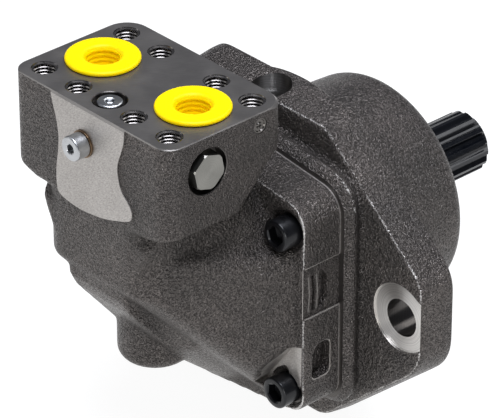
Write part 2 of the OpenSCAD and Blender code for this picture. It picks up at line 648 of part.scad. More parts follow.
// Seal carrier, its O-ring, the shaft seal and the retaining ring in the nose's bore
module seal_carrier() color(steel_colour) along_y(carrier_y) difference() {
  cylinder(d = front_bearing_d - 0.1, h = carrier_end - carrier_y - seat_gap);
  translate([0, 0, -1]) cylinder(r = seal_r - 2, h = 20);
  translate([0, 0, 1.5]) cylinder(r = seal_r + seat_gap, h = 20);
  translate([0, 0, 3.5]) rotate_extrude() translate([front_bearing_d / 2 - carrier_ring_section - 0.1, 0])
    square([4, carrier_ring_section + 0.7]);
}
module carrier_o_ring() color(black_colour) along_y(carrier_y + 3.85 + carrier_ring_section / 2) rotate_extrude()
  translate([front_bearing_d / 2 - carrier_ring_section / 2 - 0.05, 0]) circle(d = carrier_ring_section);
module shaft_seal() color(black_colour) along_y(carrier_y + 1.6) rotate_extrude()
  polygon([[seal_r, 0], [seal_r, 7], [seal_run_d / 2 + 1.5, 7], [seal_run_d / 2 + run_gap + 0.9, 4.8],
           [seal_run_d / 2 + run_gap, 4.2], [seal_run_d / 2 + run_gap + 1.6, 2.4],
           [seal_run_d / 2 + 3.4, 2], [seal_r - 2.2, 5.4], [seal_r - 2.2, 0]]);
module retaining_ring() color(steel_colour) along_y(carrier_end) difference() {
  cylinder(d = front_bearing_d + 4.6, h = ring_end - carrier_end);
  translate([0, 0, -1]) cylinder(d = front_bearing_d - 8, h = 5);
  translate([-6, 30, -1]) cube([12, 20, 5]);
}

// Plugs
module hex_socket(af, depth) { translate([0, 0, -depth]) cylinder(d = af / cos(30), h = depth + 1, $fn = 6); }
// Socket plug about Z with its head's top at z = head_h
module socket_plug(thread_d, reach, head_d, head_h, key) difference() {
  union() {
    translate([0, 0, -reach]) cylinder(d = thread_d, h = reach + 0.5);
    cylinder(d = head_d, h = head_h - 0.8);
    translate([0, 0, head_h - 0.8]) cylinder(d1 = head_d, d2 = head_d - 1.6, h = 0.8);
  }
  translate([0, 0, head_h]) hex_socket(key, head_h * 0.7);
}
module at_rear_plug(out) {
  translate([rear_plug_x, -block_back - out, rear_plug_z]) rotate([90, 0, 0]) children();
}
module rear_plug() color(zinc_colour) at_rear_plug(1.3) socket_plug(plug_thread_d, 10, 14, 8, 5);
module rear_plug_washer() color("#b87a4a") at_rear_plug(0.05) difference() {
  cylinder(d = 15.5, h = 1.2);
  translate([0, 0, -1]) cylinder(d = plug_thread_d + 0.4, h = 4);
}
module port_face_plug() color(zinc_colour)
  translate([0, face_plug_y, port_face_z - face_recess_t + 0.05])
    socket_plug(plug_thread_d, 9, 14, face_recess_t - 0.3, 5);
module side_hex_plug() color(steel_colour)
  translate([side_seat_x + 0.05, side_plug_y, side_plug_z]) rotate([0, 90, 0]) {
    translate([0, 0, -5]) cylinder(d = 16, h = 5.5);
    cylinder(d = 22, h = 1.5);
    intersection() {
      rotate([0, 0, 12]) cylinder(d = side_plug_af / cos(30), h = 9.2, $fn = 6);
      cylinder(d1 = side_plug_af + 18, d2 = side_plug_af - 0.4, h = 9.2);
    }
  }
module expander_plug() color(steel_colour)
  translate([block_w / 2 - 5, expander_y, expander_z]) rotate([0, 90, 0]) difference() {
    cylinder(d = expander_d, h = 4.6);
    translate([0, 0, 2]) cylinder(d = expander_d - 5, h = 4);
  }
module flange_drain_plug() color(zinc_colour)
  translate([0, drain_y, drain_seat_z + 0.05]) socket_plug(12, 10, drain_hole_d - 6, 9, 6);

// Port plug: a rounded disc on a hollow skirt, its hollow narrowing towards the bottom
module port_plug() color(yellow_colour) translate([0, -port_back, port_face_z + 0.3]) difference() {
  skirt_d = port_bore_d - 0.5;
  hollow_d = port_bore_d - 10;
  union() {
    rotate_extrude() polygon(concat([[0, 0]],
      rounded([[port_plug_d / 2, 0], [port_plug_d / 2, port_plug_t], [0, port_plug_t]], [1.2, 2.2, 0])));
    translate([0, 0, -port_plug_skirt]) cylinder(d = skirt_d, h = port_plug_skirt + 1);
    translate([0, 0, -port_plug_skirt - 2]) cylinder(d1 = skirt_d - 2.5, d2 = skirt_d, h = 2);
  }
  translate([0, 0, 1 - port_plug_skirt]) cylinder(d1 = hollow_d, d2 = hollow_d + 3, h = port_plug_skirt + 4);
  translate([0, 0, port_plug_t - 1.5]) cylinder(d1 = hollow_d + 2.5, d2 = hollow_d + 5.5, h = 1.6);
}
module port_plug_a() translate([-port_spacing / 2, 0, 0]) port_plug();
module port_plug_b() translate([port_spacing / 2, 0, 0]) port_plug();

// Shaft: drive flange, journals, seal surface and spline in one piece
function spline_outline() =
  let (step = 360 / spline_teeth, r = spline_root_d / 2, o = spline_d / 2)
  [for (i = [0 : spline_teeth - 1]) let (a = i * step)
    each [for (p = [[r, -0.40], [r + 0.5, -0.31], [o - 0.4, -0.2], [o, -0.15], [o, 0.15], [o - 0.4, 0.2],
                    [r + 0.5, 0.31], [r, 0.40]])
      p[0] * [cos(a + p[1] * step), sin(a + p[1] * step)]]];
module ball_sockets(r) {
  for (i = [1 : piston_count])
    translate([ball_pitch_r * cos(piston_at(i)), cross_y, ball_pitch_r * sin(piston_at(i))]) sphere(r = r);
  translate([0, cross_y, 0]) sphere(r = r);
}
module at_retainer_screws() {
  for (i = [1 : piston_count]) rotate([0, -piston_at(i) - 180 / piston_count, 0])
    translate([ball_pitch_r, cross_y, 0]) children();
}
spline_y = shaft_out - spline_len;
module shaft() color("#232428") difference() {
  union() {
    along_y() rotate_extrude() polygon([[0, cross_y], [drive_r, cross_y], [drive_r, drive_front_y - 2],
      [drive_r - 2, drive_front_y], [shoulder_d / 2, drive_front_y], [shoulder_d / 2, rear_bearing_y],
      [rear_journal_d / 2, rear_bearing_y],
      [rear_journal_d / 2, front_bearing_y], [front_journal_d / 2, front_bearing_y],
      [front_journal_d / 2, nut_end], [seal_run_d / 2, nut_end], [seal_run_d / 2, spline_y - 10],
      [seal_run_d / 2 - 1.5, spline_y - 8.5], [spline_root_d / 2 - 0.6, spline_y - 6],
      [spline_root_d / 2 - 0.6, shaft_out - 0.5], [0, shaft_out - 0.5]]);
    intersection() {
      slab_y(spline_y, shaft_out) polygon(spline_outline());
      along_y() rotate_extrude() polygon([[0, spline_y], [spline_root_d / 2 - 0.3, spline_y],
        [spline_d / 2 + 0.2, spline_y + 3], [spline_d / 2 + 0.2, shaft_out - 2], [spline_d / 2 - 2.2, shaft_out],
        [0, shaft_out]]);
    }
  }
  ball_sockets(ball_r + run_gap);
  at_retainer_screws() along_y(0) translate([0, 0, -1]) cylinder(d = 4 + 2 * seat_gap, h = 9);
  along_y(shaft_out - 12) cylinder(d = 8, h = 13);
  along_y(shaft_out - 1.2) cylinder(d1 = 8, d2 = 12, h = 2);
}
module ball_retainer() color(steel_colour) difference() {
  along_y(cross_y - retainer_t) cylinder(r = drive_r - 1, h = retainer_t - 0.02);
  ball_sockets(ball_r + run_gap);
  at_retainer_screws() along_y(-retainer_t - 0.1) cylinder(d1 = 8, d2 = 4 + 2 * seat_gap, h = 2);
  at_retainer_screws() along_y(-retainer_t - 0.1) cylinder(d = 4 + 2 * seat_gap, h = 5);
}
module retainer_screws() color(black_colour) at_retainer_screws() along_y(-retainer_t) difference() {
  union() {
    cylinder(d1 = 7.7, d2 = 4, h = 1.85);
    cylinder(d = 4, h = 9);
  }
  translate([0, 0, -0.1]) cylinder(d = 2.5 / cos(30), h = 1.1, $fn = 6);
}
module bearing_spacer() color(steel_colour) along_y(rear_bearing_end + 0.05) difference() {
  cylinder(d = shoulder_d, h = front_bearing_y - rear_bearing_end - 0.1);
  translate([0, 0, -1]) cylinder(d = rear_journal_d + 2 * seat_gap, h = front_bearing_y - rear_bearing_end + 2);
}
module lock_nut() color(steel_colour) along_y(front_bearing_end + 0.05) difference() {
  cylinder(d = shoulder_d, h = nut_t - 0.1);
  translate([0, 0, -1]) cylinder(d = front_journal_d + 2 * seat_gap, h = nut_t + 2);
  for (a = [0 : 90 : 270]) rotate([0, 0, a]) translate([shoulder_d / 2 - 2.5, -3, -1]) cube([5, 6, nut_t + 2]);
}

// Rotating group
module cylinder_barrel() color(steel_colour) on_tilt() difference() {
  rotate_extrude() polygon([[0, barrel_front], [barrel_d / 2 - barrel_chamfer, barrel_front],
                            [barrel_d / 2, barrel_front + barrel_chamfer],
                            [barrel_d / 2, barrel_rear - 1], [barrel_d / 2 - 1, barrel_rear], [0, barrel_rear]]);
  for (i = [1 : piston_count]) rotate([0, 0, piston_at(i)]) translate([bore_pitch_r, 0, 0]) {
    cylinder(d = bore_d, h = bore_end);
    translate([0, 0, bore_end - 1.5]) cylinder(d = bore_d / 2, h = barrel_floor + 3);
  }
  cylinder(d = pin_d, h = spring_at + spring_pairs * spring_pitch + 0.05);
}
module centre_pin() color(steel_colour) on_tilt() {
  neck = pin_guide_at - 15;
  sphere(r = ball_r);
  cylinder(d = pin_d / 2, h = neck);
  translate([0, 0, neck]) cylinder(d1 = pin_d / 2, d2 = pin_d - 4, h = 10);
  translate([0, 0, neck + 10]) cylinder(d = pin_d - 4, h = 6);
  translate([0, 0, pin_guide_at]) cylinder(d = pin_d - 2 * run_gap, h = pin_guide_len);
  translate([0, 0, pin_guide_at + pin_guide_len - 1])
    cylinder(d = pin_tip_d, h = pin_tip - pin_guide_at - pin_guide_len + 1);
}
// Section of one disc spring, its small end down
module spring_section() {
  inner = pin_tip_d / 2 + 0.1;
  outer = pin_d / 2 - 0.2;
  polygon([[inner, 0], [inner + 0.8, 0], [outer, spring_h - 0.7], [outer, spring_h],
           [outer - 0.8, spring_h], [inner, 0.7]]);
}
module disc_springs() color(steel_colour) on_tilt() for (i = [0 : spring_pairs - 1])
  translate([0, 0, spring_at + spring_pitch * i]) {
    rotate_extrude() spring_section();
    translate([0, 0, 2 * spring_h + 0.3]) mirror([0, 0, 1]) rotate_extrude() spring_section();
  }

// Frame of piston i: origin at its ball's centre, Z along the piston towards its head
module at_piston(i) {
  a = piston_at(i);
  translate([ball_pitch_r * cos(a), cross_y, ball_pitch_r * sin(a)])
    rotate([90 - tilt, 0, 0]) rotate([0, piston_lean, 180 - a]) children();
}
head_r = bore_d / 2 - 0.15;
module piston_ball(i) color(steel_colour)
  translate([ball_pitch_r * cos(piston_at(i)), cross_y, ball_pitch_r * sin(piston_at(i))]) sphere(r = ball_r);
module piston(i) color(steel_colour) at_piston(i) difference() {
  rotate_extrude() polygon(concat([[0, 5], [3.6, 5], [3.6, 10], [4.4, 14], [6.2, piston_len - 14],
      [6.6, piston_len - 9]],
    [for (t = [-40 : 10 : -10]) [head_r * cos(t), piston_len + head_r * sin(t)]],
    [[head_r * cos(7), piston_len - 1.1], [7.2, piston_len - 1.1], [7.2, piston_len + 1.1],
     [head_r * cos(7), piston_len + 1.1], [head_r * cos(10), piston_len + piston_crown],
     [0, piston_len + piston_crown]]));
  sphere(r = ball_r + run_gap);
  translate([0, 0, piston_len - 20]) cylinder(r = 3, h = 30);
}
module piston_ring(i) color(steel_colour) at_piston(i) translate([0, 0, piston_len - 1]) difference() {
  cylinder(r = bore_d / 2 - 0.08, h = 2);
  translate([0, 0, -1]) cylinder(r = 7.3, h = 4);
}

bearing_housing();
barrel_housing();
housing_screws();
housing_o_ring();
valve_plate();
valve_plate_pin();
rear_bearing_cup();
front_bearing_cup();
seal_carrier();
carrier_o_ring();
shaft_seal();
retaining_ring();
rear_plug();
rear_plug_washer();
port_face_plug();
side_hex_plug();
expander_plug();
flange_drain_plug();
shaft();
ball_retainer();
retainer_screws();
rear_bearing_cone();
front_bearing_cone();
bearing_spacer();
lock_nut();
rear_rollers();
rear_cage();
front_rollers();
front_cage();
cylinder_barrel();
centre_pin();
disc_springs();
port_plug_a();
port_plug_b();
for (i = [1 : piston_count]) {
  piston_ball(i);
  piston(i);
  piston_ring(i);
}
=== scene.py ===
import json
import math

import bmesh
import bpy
import numpy as np
from mathutils import Matrix, Vector


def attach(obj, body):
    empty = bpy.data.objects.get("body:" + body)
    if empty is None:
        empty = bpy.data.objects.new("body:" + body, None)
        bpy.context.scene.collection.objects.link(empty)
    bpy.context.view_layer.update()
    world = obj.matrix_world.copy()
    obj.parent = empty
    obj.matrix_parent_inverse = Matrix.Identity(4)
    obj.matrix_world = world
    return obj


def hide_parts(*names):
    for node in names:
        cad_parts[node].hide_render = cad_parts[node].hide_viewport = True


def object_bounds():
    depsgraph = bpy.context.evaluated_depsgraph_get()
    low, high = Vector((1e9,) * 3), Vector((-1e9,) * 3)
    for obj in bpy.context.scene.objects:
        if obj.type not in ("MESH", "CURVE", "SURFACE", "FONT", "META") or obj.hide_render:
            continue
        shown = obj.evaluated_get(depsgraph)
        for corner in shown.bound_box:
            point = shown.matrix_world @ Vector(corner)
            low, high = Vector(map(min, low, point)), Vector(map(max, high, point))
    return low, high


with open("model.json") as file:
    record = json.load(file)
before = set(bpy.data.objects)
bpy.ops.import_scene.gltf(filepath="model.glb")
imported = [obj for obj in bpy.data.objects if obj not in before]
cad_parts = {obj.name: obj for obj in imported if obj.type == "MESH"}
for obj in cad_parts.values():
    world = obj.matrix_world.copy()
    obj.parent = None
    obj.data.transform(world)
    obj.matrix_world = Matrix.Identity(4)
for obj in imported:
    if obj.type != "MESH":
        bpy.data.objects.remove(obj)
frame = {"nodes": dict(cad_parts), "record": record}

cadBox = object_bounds()

# camera, fitted to the photo's own edges, in metres; across and up shift the view at the object
view = dict(azimuth=47.69, elevation=30.70, distance=2.205, across=0.0048, up=-0.0161, aim=(0, -0.021, 0),
            lens=288.0, sensor=36, near=0.1, far=50)
# floor, sky and soft boxes; places and sizes in metres, power in watts
studio = dict(floorColour="#707070", floorGlow=0.93, floorSize=6.0, skyColour="#eef2ff", sky=0.16)
softBoxes = dict(
    topBox=dict(place=(0.25, -0.15, 1.4), target=(0, 0, 0), size=(0.9, 0.9), watts=30.0, colour="#f3f6ff"),
    leftBox=dict(place=(-1.2, -1.0, 0.9), target=(0, -0.05, 0.02), size=(0.6, 1.4), watts=4.0),
    rightBox=dict(place=(1.6, 0.1, 0.5), target=(0, 0, 0), size=(0.4, 1.4), watts=1.0),
    backBox=dict(place=(0.2, 1.1, 1.35), target=(0, -0.03, 0.04), size=(0.9, 0.6), watts=6.0),
    frontLowBox=dict(place=(0.9, -1.4, 0.1), target=(0, -0.05, 0), size=(0.6, 0.5), watts=6.0))


def placeCamera():
    # the camera looks along -back from the fitted distance
    azimuth = math.radians(view["azimuth"])
    elevation = math.radians(view["elevation"])
    level = Vector((math.sin(azimuth), -math.cos(azimuth), 0)) * math.cos(elevation)
    back = level + Vector((0, 0, math.sin(elevation)))
    right = Vector((math.cos(azimuth), math.sin(azimuth), 0))
    up = back.cross(right)
    camera = bpy.data.objects.new("Camera", bpy.data.cameras.new("Camera"))
    bpy.context.scene.collection.objects.link(camera)
    camera.data.lens = view["lens"]
    camera.data.sensor_width = view["sensor"]
    camera.data.clip_start = view["near"]
    camera.data.clip_end = view["far"]
    place = back * view["distance"] - right * view["across"] - up * view["up"] + Vector(view["aim"])
    camera.matrix_world = Matrix.Translation(place) @ Matrix((right, up, back)).transposed().to_4x4()
    bpy.context.scene.camera = camera


placeCamera()
bpy.context.scene.view_settings.view_transform = "Standard"
print("camera placed")


def linear(hexCode, strength=1.0):
    # sRGB hex to the linear colour that the shaders use
    channels = [int(hexCode.lstrip("#")[i:i + 2], 16) / 255 for i in (0, 2, 4)]
    flat = [c / 12.92 if c <= 0.04045 else ((c + 0.055) / 1.055) ** 2.4 for c in channels]
    return tuple(strength * c for c in flat) + (1.0,)


def addNode(tree, kind, links=None, **settings):
    # settings are node properties, inputs by name with _ for a space, or in3 for input 3
    # links name the source of an input, as input: (node, output)
    node = tree.nodes.new(kind)
    for name, value in settings.items():
        if hasattr(node, name):
            setattr(node, name, value)
        elif name[:2] == "in" and name[2:].isdigit():
            node.inputs[int(name[2:])].default_value = value
        else:
            node.inputs[name.replace("_", " ")].default_value = value
    for name, (other, output) in (links or {}).items():
        tree.links.new(other.outputs[output], node.inputs[name])
    return node


def newMaterial(name, **settings):
    # a principled shader with its output, and the coordinates that its textures start from
    material = bpy.data.materials.new(name)
    material.use_nodes = True
    tree = material.node_tree
    tree.nodes.clear()
    shader = addNode(tree, "ShaderNodeBsdfPrincipled", **settings)
    addNode(tree, "ShaderNodeOutputMaterial", {"Surface": (shader, "BSDF")})
    place = addNode(tree, "ShaderNodeTexCoord")
    return material, tree, shader, place


def softLight(name, place, target, size, watts, colour="#ffffff"):
    lamp = bpy.data.objects.new(name, bpy.data.lights.new(name, "AREA"))
    lamp.data.shape = "RECTANGLE"
    lamp.data.size, lamp.data.size_y = size
    lamp.data.energy = watts
    lamp.data.color = linear(colour)[:3]
    lamp.location = place
    lamp.rotation_euler = (Vector(target) - Vector(place)).to_track_quat("-Z", "Y").to_euler()
    bpy.context.scene.collection.objects.link(lamp)


def buildStudio():
    low = cadBox[0].z
    half = studio["floorSize"] / 2
    mesh = bpy.data.meshes.new("floor")
    corners = [(-half, -half, low), (half, -half, low), (half, half, low), (-half, half, low)]
    mesh.from_pydata(corners, [], [(0, 1, 2, 3)])
    floor = bpy.data.objects.new("floor", mesh)
    bpy.context.scene.collection.objects.link(floor)
    paper = newMaterial("lit white paper floor", Base_Color=linear(studio["floorColour"]), Roughness=0.95,
                        Emission_Color=(1, 1, 1, 1), Emission_Strength=studio["floorGlow"])[0]
    mesh.materials.append(paper)
    world = bpy.data.worlds.new("studio")
    bpy.context.scene.world = world
    world.use_nodes = True
    sky = world.node_tree.nodes["Background"]
    sky.inputs["Color"].default_value = linear(studio["skyColour"])
    sky.inputs["Strength"].default_value = studio["sky"]
    for name, lamp in softBoxes.items():
        softLight(name, **lamp)


buildStudio()
print("studio built")


def meshPiece(name, points, faces, materials=()):
    mesh = bpy.data.meshes.new(name)
    mesh.from_pydata(np.asarray(points, float).reshape(-1, 3).tolist(), [], faces)
    mesh.validate()
    for m in materials:
        mesh.materials.append(m)
    piece = bpy.data.objects.new(name, mesh)
    bpy.context.scene.collection.objects.link(piece)
    return piece


def shadeByAngle(piece, degrees=35):
    mesh = piece.data
    mesh.polygons.foreach_set("use_smooth", np.ones(len(mesh.polygons), bool))
    mesh.set_sharp_from_angle(angle=math.radians(degrees))


def closeUp(piece, gap=1e-6):
    # merges doubled points, so poles close, and turns all faces outwards
    work = bmesh.new()
    work.from_mesh(piece.data)
    bmesh.ops.remove_doubles(work, verts=work.verts, dist=gap)
    bmesh.ops.dissolve_degenerate(work, edges=work.edges, dist=gap)
    bmesh.ops.recalc_face_normals(work, faces=work.faces)
    work.to_mesh(piece.data)
    work.free()


# a profile row's share and limit where it gives none: round, and never cut back
plainRow = (0, 1e9)
# a cutting rod with a widened mouth runs this far past the face, in mm
toolPast = 3


def turned(name, profile, place, axis, materials=(), columns=96, spin=0.0, angle=35):
    # rows of (r, height, share, limit) in mm turned about an axis: the radius is r (1 - share) + share hex,
    # up to limit; hex is r / cos(angle folded into one sixth), so share 1 is a hexagon, 2 r across its flats
    rows = np.array([tuple(given) + plainRow[len(given) - 2:] for given in profile], float)
    t = np.arange(columns) * 2 * np.pi / columns
    r, z, share, limit = (rows[:, k:k + 1] for k in range(4))
    hexed = r / np.cos((t + np.pi / 6) % (np.pi / 3) - np.pi / 6)
    radius = np.minimum(r * (1 - share) + share * hexed, limit)
    t = t + math.radians(spin)
    points = np.stack([radius * np.cos(t), radius * np.sin(t), z + 0 * radius], -1).reshape(-1, 3)
    turn = np.array(Vector((0, 0, 1)).rotation_difference(Vector(axis)).to_matrix())
    # a profile that starts on the axis ends there too, any other is a ring and closes on its first row
    n = len(rows)
    bands = n if profile[0][0] > 0 else n - 1
    row, column = np.meshgrid(np.arange(bands), np.arange(columns), indexing="ij")
    nextRow, nextColumn = (row + 1) % n, (column + 1) % columns
    corners = [row * columns + column, row * columns + nextColumn, nextRow * columns + nextColumn,
               nextRow * columns + column]
    faces = np.stack(corners, -1).reshape(-1, 4).tolist()
    piece = meshPiece(name, (points @ turn.T + np.array(place)) / 1000, faces, materials)
    closeUp(piece)
    shadeByAngle(piece, angle)
    return piece


def rod(start, end, radius, columns=64, rim=0.0):
    # a closed cylinder from start to end, in mm; rim widens its mouth by a cone of that many mm
    start, end = Vector(start), Vector(end)
    length = (end - start).length
    mouth = length - toolPast
    profile = [(0, 0), (radius, 0), (radius, length), (0, length)]
    if rim:
        profile[2:3] = [(radius, mouth - rim), (radius + rim, mouth), (radius + rim, length)]
    return turned("rod", profile, start, (end - start).normalized(), (), columns)


def rodAlong(axis, through, start, end, radius, columns=64, rim=0.0):
    # a rod along X, Y or Z through a point, between two coordinates on that axis
    spot = "xyz".index(axis)
    ends = [through[:spot] + (value,) + through[spot + 1:] for value in (start, end)]
    return rod(*ends, radius, columns, rim)


def loft(outlines, levels, axis="z"):
    # outlines of equal length, in mm, joined level after level along X, Y or Z and closed at both ends
    n = len(outlines[0])
    spots = {"x": (1, 2, 0), "y": (0, 2, 1), "z": (0, 1, 2)}[axis]
    points = np.zeros((len(levels) * n, 3))
    for k, (outline, level) in enumerate(zip(outlines, levels)):
        points[k * n:(k + 1) * n, spots[:2]] = outline
        points[k * n:(k + 1) * n, spots[2]] = level
    last = (len(levels) - 1) * n
    faces = [tuple(range(n)), tuple(range(last, last + n))]
    faces += [(k * n + i, k * n + (i + 1) % n, (k + 1) * n + (i + 1) % n, (k + 1) * n + i)
              for k in range(len(levels) - 1) for i in range(n)]
    piece = meshPiece("loft", points / 1000, faces)
    closeUp(piece)
    return piece


def prism(outline, start, end, axis="z"):
    return loft([outline, outline], (start, end), axis)


def box(low, high):
    outline = [(low[0], low[1]), (high[0], low[1]), (high[0], high[1]), (low[0], high[1])]
    return prism(outline, low[2], high[2])


def roundedOutline(points, radii, steps=8):
    # each corner of a closed outline replaced by an arc of its own radius
    points = np.asarray(points, float)
    radii = [radii] * len(points) if np.isscalar(radii) else radii
    out = []
    for i, (p, r) in enumerate(zip(points, radii)):
        before, after = points[i - 1] - p, points[(i + 1) % len(points)] - p
        before, after = before / np.linalg.norm(before), after / np.linalg.norm(after)
        half = math.acos(np.clip(before @ after, -1, 1)) / 2
        centre = p + (before + after) / np.linalg.norm(before + after) * r / math.sin(half)
        first, last = p + before * r / math.tan(half) - centre, p + after * r / math.tan(half) - centre
        a0, a1 = math.atan2(first[1], first[0]), math.atan2(last[1], last[0])
        sweep = (a1 - a0 + math.pi) % (2 * math.pi) - math.pi
        for t in np.linspace(0, 1, steps + 1):
            out.append(centre + r * np.array([math.cos(a0 + sweep * t), math.sin(a0 + sweep * t)]))
    return np.array(out)


def grown(outline, by):
    # the outline's points moved away from its centre by so many mm
    away = outline - outline.mean(0)
    return outline + by * away / np.linalg.norm(away, axis=1, keepdims=True)


def curveThrough(points, steps=6):
    # open Catmull-Rom curve through the points
    p = np.vstack([points[0], points, points[-1]]).astype(float)
    out = []
    for a, b, c, d in zip(p, p[1:], p[2:], p[3:]):
        for t in np.arange(steps) / steps:
            square = (2 * a - 5 * b + 4 * c - d) * t ** 2
            cube = (3 * b - a - 3 * c + d) * t ** 3
            out.append(0.5 * (2 * b + (c - a) * t + square + cube))
    return np.array(out + [p[-1]])


def copyOfNode(node, name):
    # the CAD node's triangles, merged, as a new mesh
    piece = bpy.data.objects.new(name, frame["nodes"][node].data.copy())
    piece.data.materials.clear()
    bpy.context.scene.collection.objects.link(piece)
    work = bmesh.new()
    work.from_mesh(piece.data)
    bmesh.ops.remove_doubles(work, verts=work.verts, dist=2e-6)
    work.to_mesh(piece.data)
    work.free()
    if piece.data.has_custom_normals:
        with bpy.context.temp_override(object=piece, active_object=piece, mesh=piece.data):
            bpy.ops.mesh.customdata_custom_splitnormals_clear()
    return piece


def applyModifiers(piece):
    bpy.context.view_layer.update()
    done = bpy.data.meshes.new_from_object(piece.evaluated_get(bpy.context.evaluated_depsgraph_get()))
    old = piece.data
    piece.modifiers.clear()
    piece.data = done
    bpy.data.meshes.remove(old)


def joined(target, others):
    # the others' faces added to target's mesh
    work = bmesh.new()
    work.from_mesh(target.data)
    for other in others:
        work.from_mesh(other.data)
        bpy.data.objects.remove(other)
    work.to_mesh(target.data)
    work.free()
    return target


def giveFinishes(piece, finishes):
    piece.data.materials.clear()
    for finish in finishes:
        piece.data.materials.append(finish)


def cut(piece, others, finish, operation="DIFFERENCE"):
    # others don't touch each other; the faces they leave wear the finish, which is one of the piece's own
    tool = joined(others[0], others[1:])
    worn = list(piece.data.materials)
    giveFinishes(tool, worn)
    tool.data.polygons.foreach_set("material_index", np.full(len(tool.data.polygons), worn.index(finish)))
    change = piece.modifiers.new("cut", "BOOLEAN")
    change.operation = operation
    change.solver = "MANIFOLD"
    change.object = tool
    applyModifiers(piece)
    bpy.data.objects.remove(tool)


# each smoothing round moves a point this share of the way to its neighbours' mean
smoothingPull = 0.6
# corners that keep their dark skin count as worn by this many mm at most
darkWear = 0.3


def meshValues(items, name, width, kind=float):
    # one row of numbers for each vertex or edge
    values = np.zeros(len(items) * width, kind)
    items.foreach_get(name, values)
    return values.reshape(-1, width)


def castSkin(piece, grain, rounds, wornFrom):
    # an even skin of small squares over the shape, smoothed round after round, which rolls cast corners over
    # a point attribute keeps how far each point moved in (worn corner, over 0) or out (in hollows, under 0),
    # in mm; the iron's finish turns worn corners bright and paints shade into the hollows from it
    # corners behind Y = wornFrom keep their dark skin
    change = piece.modifiers.new("skin", "REMESH")
    change.mode = "VOXEL"
    change.voxel_size = grain / 1000
    applyModifiers(piece)
    mesh = piece.data
    points = meshValues(mesh.vertices, "co", 3)
    normals = meshValues(mesh.vertices, "normal", 3)
    edges = meshValues(mesh.edges, "vertices", 2, int)
    start = points.copy()
    count = np.bincount(edges.ravel(), minlength=len(points))[:, None]
    for _ in range(rounds):
        total = np.stack([np.bincount(edges[:, 0], points[edges[:, 1], k], len(points))
                          + np.bincount(edges[:, 1], points[edges[:, 0], k], len(points))
                          for k in range(3)], -1)
        points = points * (1 - smoothingPull) + smoothingPull * total / np.maximum(count, 1)
    mesh.vertices.foreach_set("co", points.ravel())
    wearAndHollowShade = ((start - points) * normals).sum(1) * 1000
    wearAndHollowShade = np.where(start[:, 1] * 1000 < wornFrom, np.minimum(wearAndHollowShade, darkWear), wearAndHollowShade)
    mesh.attributes.new("castWear", "FLOAT", "POINT").data.foreach_set("value", wearAndHollowShade.astype(np.float32))
    mesh.update()
    print(f"  skin {piece.name}: {len(mesh.polygons)} faces, wear {wearAndHollowShade.min():.2f} to {wearAndHollowShade.max():.2f} mm")


print("mesh tools ready")


def toneRamp(tree, source, dark, light, span=(0.0, 1.0)):
    # colour from dark to light while the source's value runs over the span
    tone = addNode(tree, "ShaderNodeValToRGB", {"Fac": source})
    for element, place, colour in zip(tone.color_ramp.elements, span, (dark, light)):
        element.position = place
        element.color = colour
    return tone


def addGloss(tree, shader, source, span, ends):
    # roughness from the first end to the second while the source's value runs over the span
    rough = addNode(tree, "ShaderNodeMapRange", {"Value": source}, From_Min=span[0], From_Max=span[1],
                    To_Min=ends[0], To_Max=ends[1])
    tree.links.new(rough.outputs["Result"], shader.inputs["Roughness"])


def addBump(tree, shader, source, strength, distance):
    bump = addNode(tree, "ShaderNodeBump", {"Height": source}, Strength=strength, Distance=distance)
    tree.links.new(bump.outputs["Normal"], shader.inputs["Normal"])


# the sand-cast skin: the scale of each noise, how much the grain frays a worn edge, the depth of the bumps in
# metres, and the wear in mm at which the bright metal starts and is full
castLook = dict(grain=1080.0, swell=420.0, patches=26.0, fray=0.3, bump=0.0014, wornStart=0.56, wornFull=0.76)


def sandCastIron(name, darkTone, lightTone, worn):
    # sand-cast grey iron, oiled: a dark skin whose grain of about 1 mm catches the light, corners worn
    # bright, and painted shade darkening the hollows
    material, tree, shader, place = newMaterial(name, Metallic=0.75)
    where = {"Vector": (place, "Object")}
    grain = addNode(tree, "ShaderNodeTexNoise", where, Scale=castLook["grain"], Detail=1.5, Roughness=0.5)
    swell = addNode(tree, "ShaderNodeTexNoise", where, Scale=castLook["swell"], Detail=2.0, Roughness=0.5)
    patches = addNode(tree, "ShaderNodeTexNoise", where, Scale=castLook["patches"], Detail=4.0, Roughness=0.6)
    wearAndHollowShade = addNode(tree, "ShaderNodeAttribute", attribute_name="castWear")
    frayed = addNode(tree, "ShaderNodeMath", {0: (grain, "Fac"), 2: (wearAndHollowShade, "Fac")}, operation="MULTIPLY_ADD",
                     in1=castLook["fray"])
    bright = addNode(tree, "ShaderNodeMapRange", {"Value": (frayed, 0)}, From_Min=castLook["wornStart"],
                     From_Max=castLook["wornFull"], To_Max=1.0)
    # painted shade: points sunk into hollows, down to 0.6 mm, darken to 0.45 of their tone
    paintedHollowShade = addNode(tree, "ShaderNodeMapRange", {"Value": (wearAndHollowShade, "Fac")}, From_Min=-0.6, From_Max=-0.02,
                     To_Min=0.45)
    tone = toneRamp(tree, (patches, "Fac"), linear(darkTone), linear(lightTone), (0.3, 0.7))
    # the skin's tone with the painted shade of the hollows
    dark = addNode(tree, "ShaderNodeVectorMath", {0: (tone, "Color"), "Scale": (paintedHollowShade, "Result")},
                   operation="SCALE")
    speck = addNode(tree, "ShaderNodeMapRange", {"Value": (grain, "Fac")}, From_Min=0.38, From_Max=0.68,
                    To_Min=0.5, To_Max=1.8)
    speckled = addNode(tree, "ShaderNodeVectorMath", {0: (dark, "Vector"), "Scale": (speck, "Result")},
                       operation="SCALE")
    mix = addNode(tree, "ShaderNodeMix", {0: (bright, "Result"), 6: (speckled, "Vector")}, data_type="RGBA",
                  in7=linear(worn))
    tree.links.new(mix.outputs[2], shader.inputs["Base Color"])
    addGloss(tree, shader, (grain, "Fac"), (0.35, 0.68), (0.48, 0.24))
    height = addNode(tree, "ShaderNodeMath", {0: (swell, "Fac"), 1: (grain, "Fac")}, operation="ADD")
    addBump(tree, shader, (height, 0), 1.0, castLook["bump"])
    return material


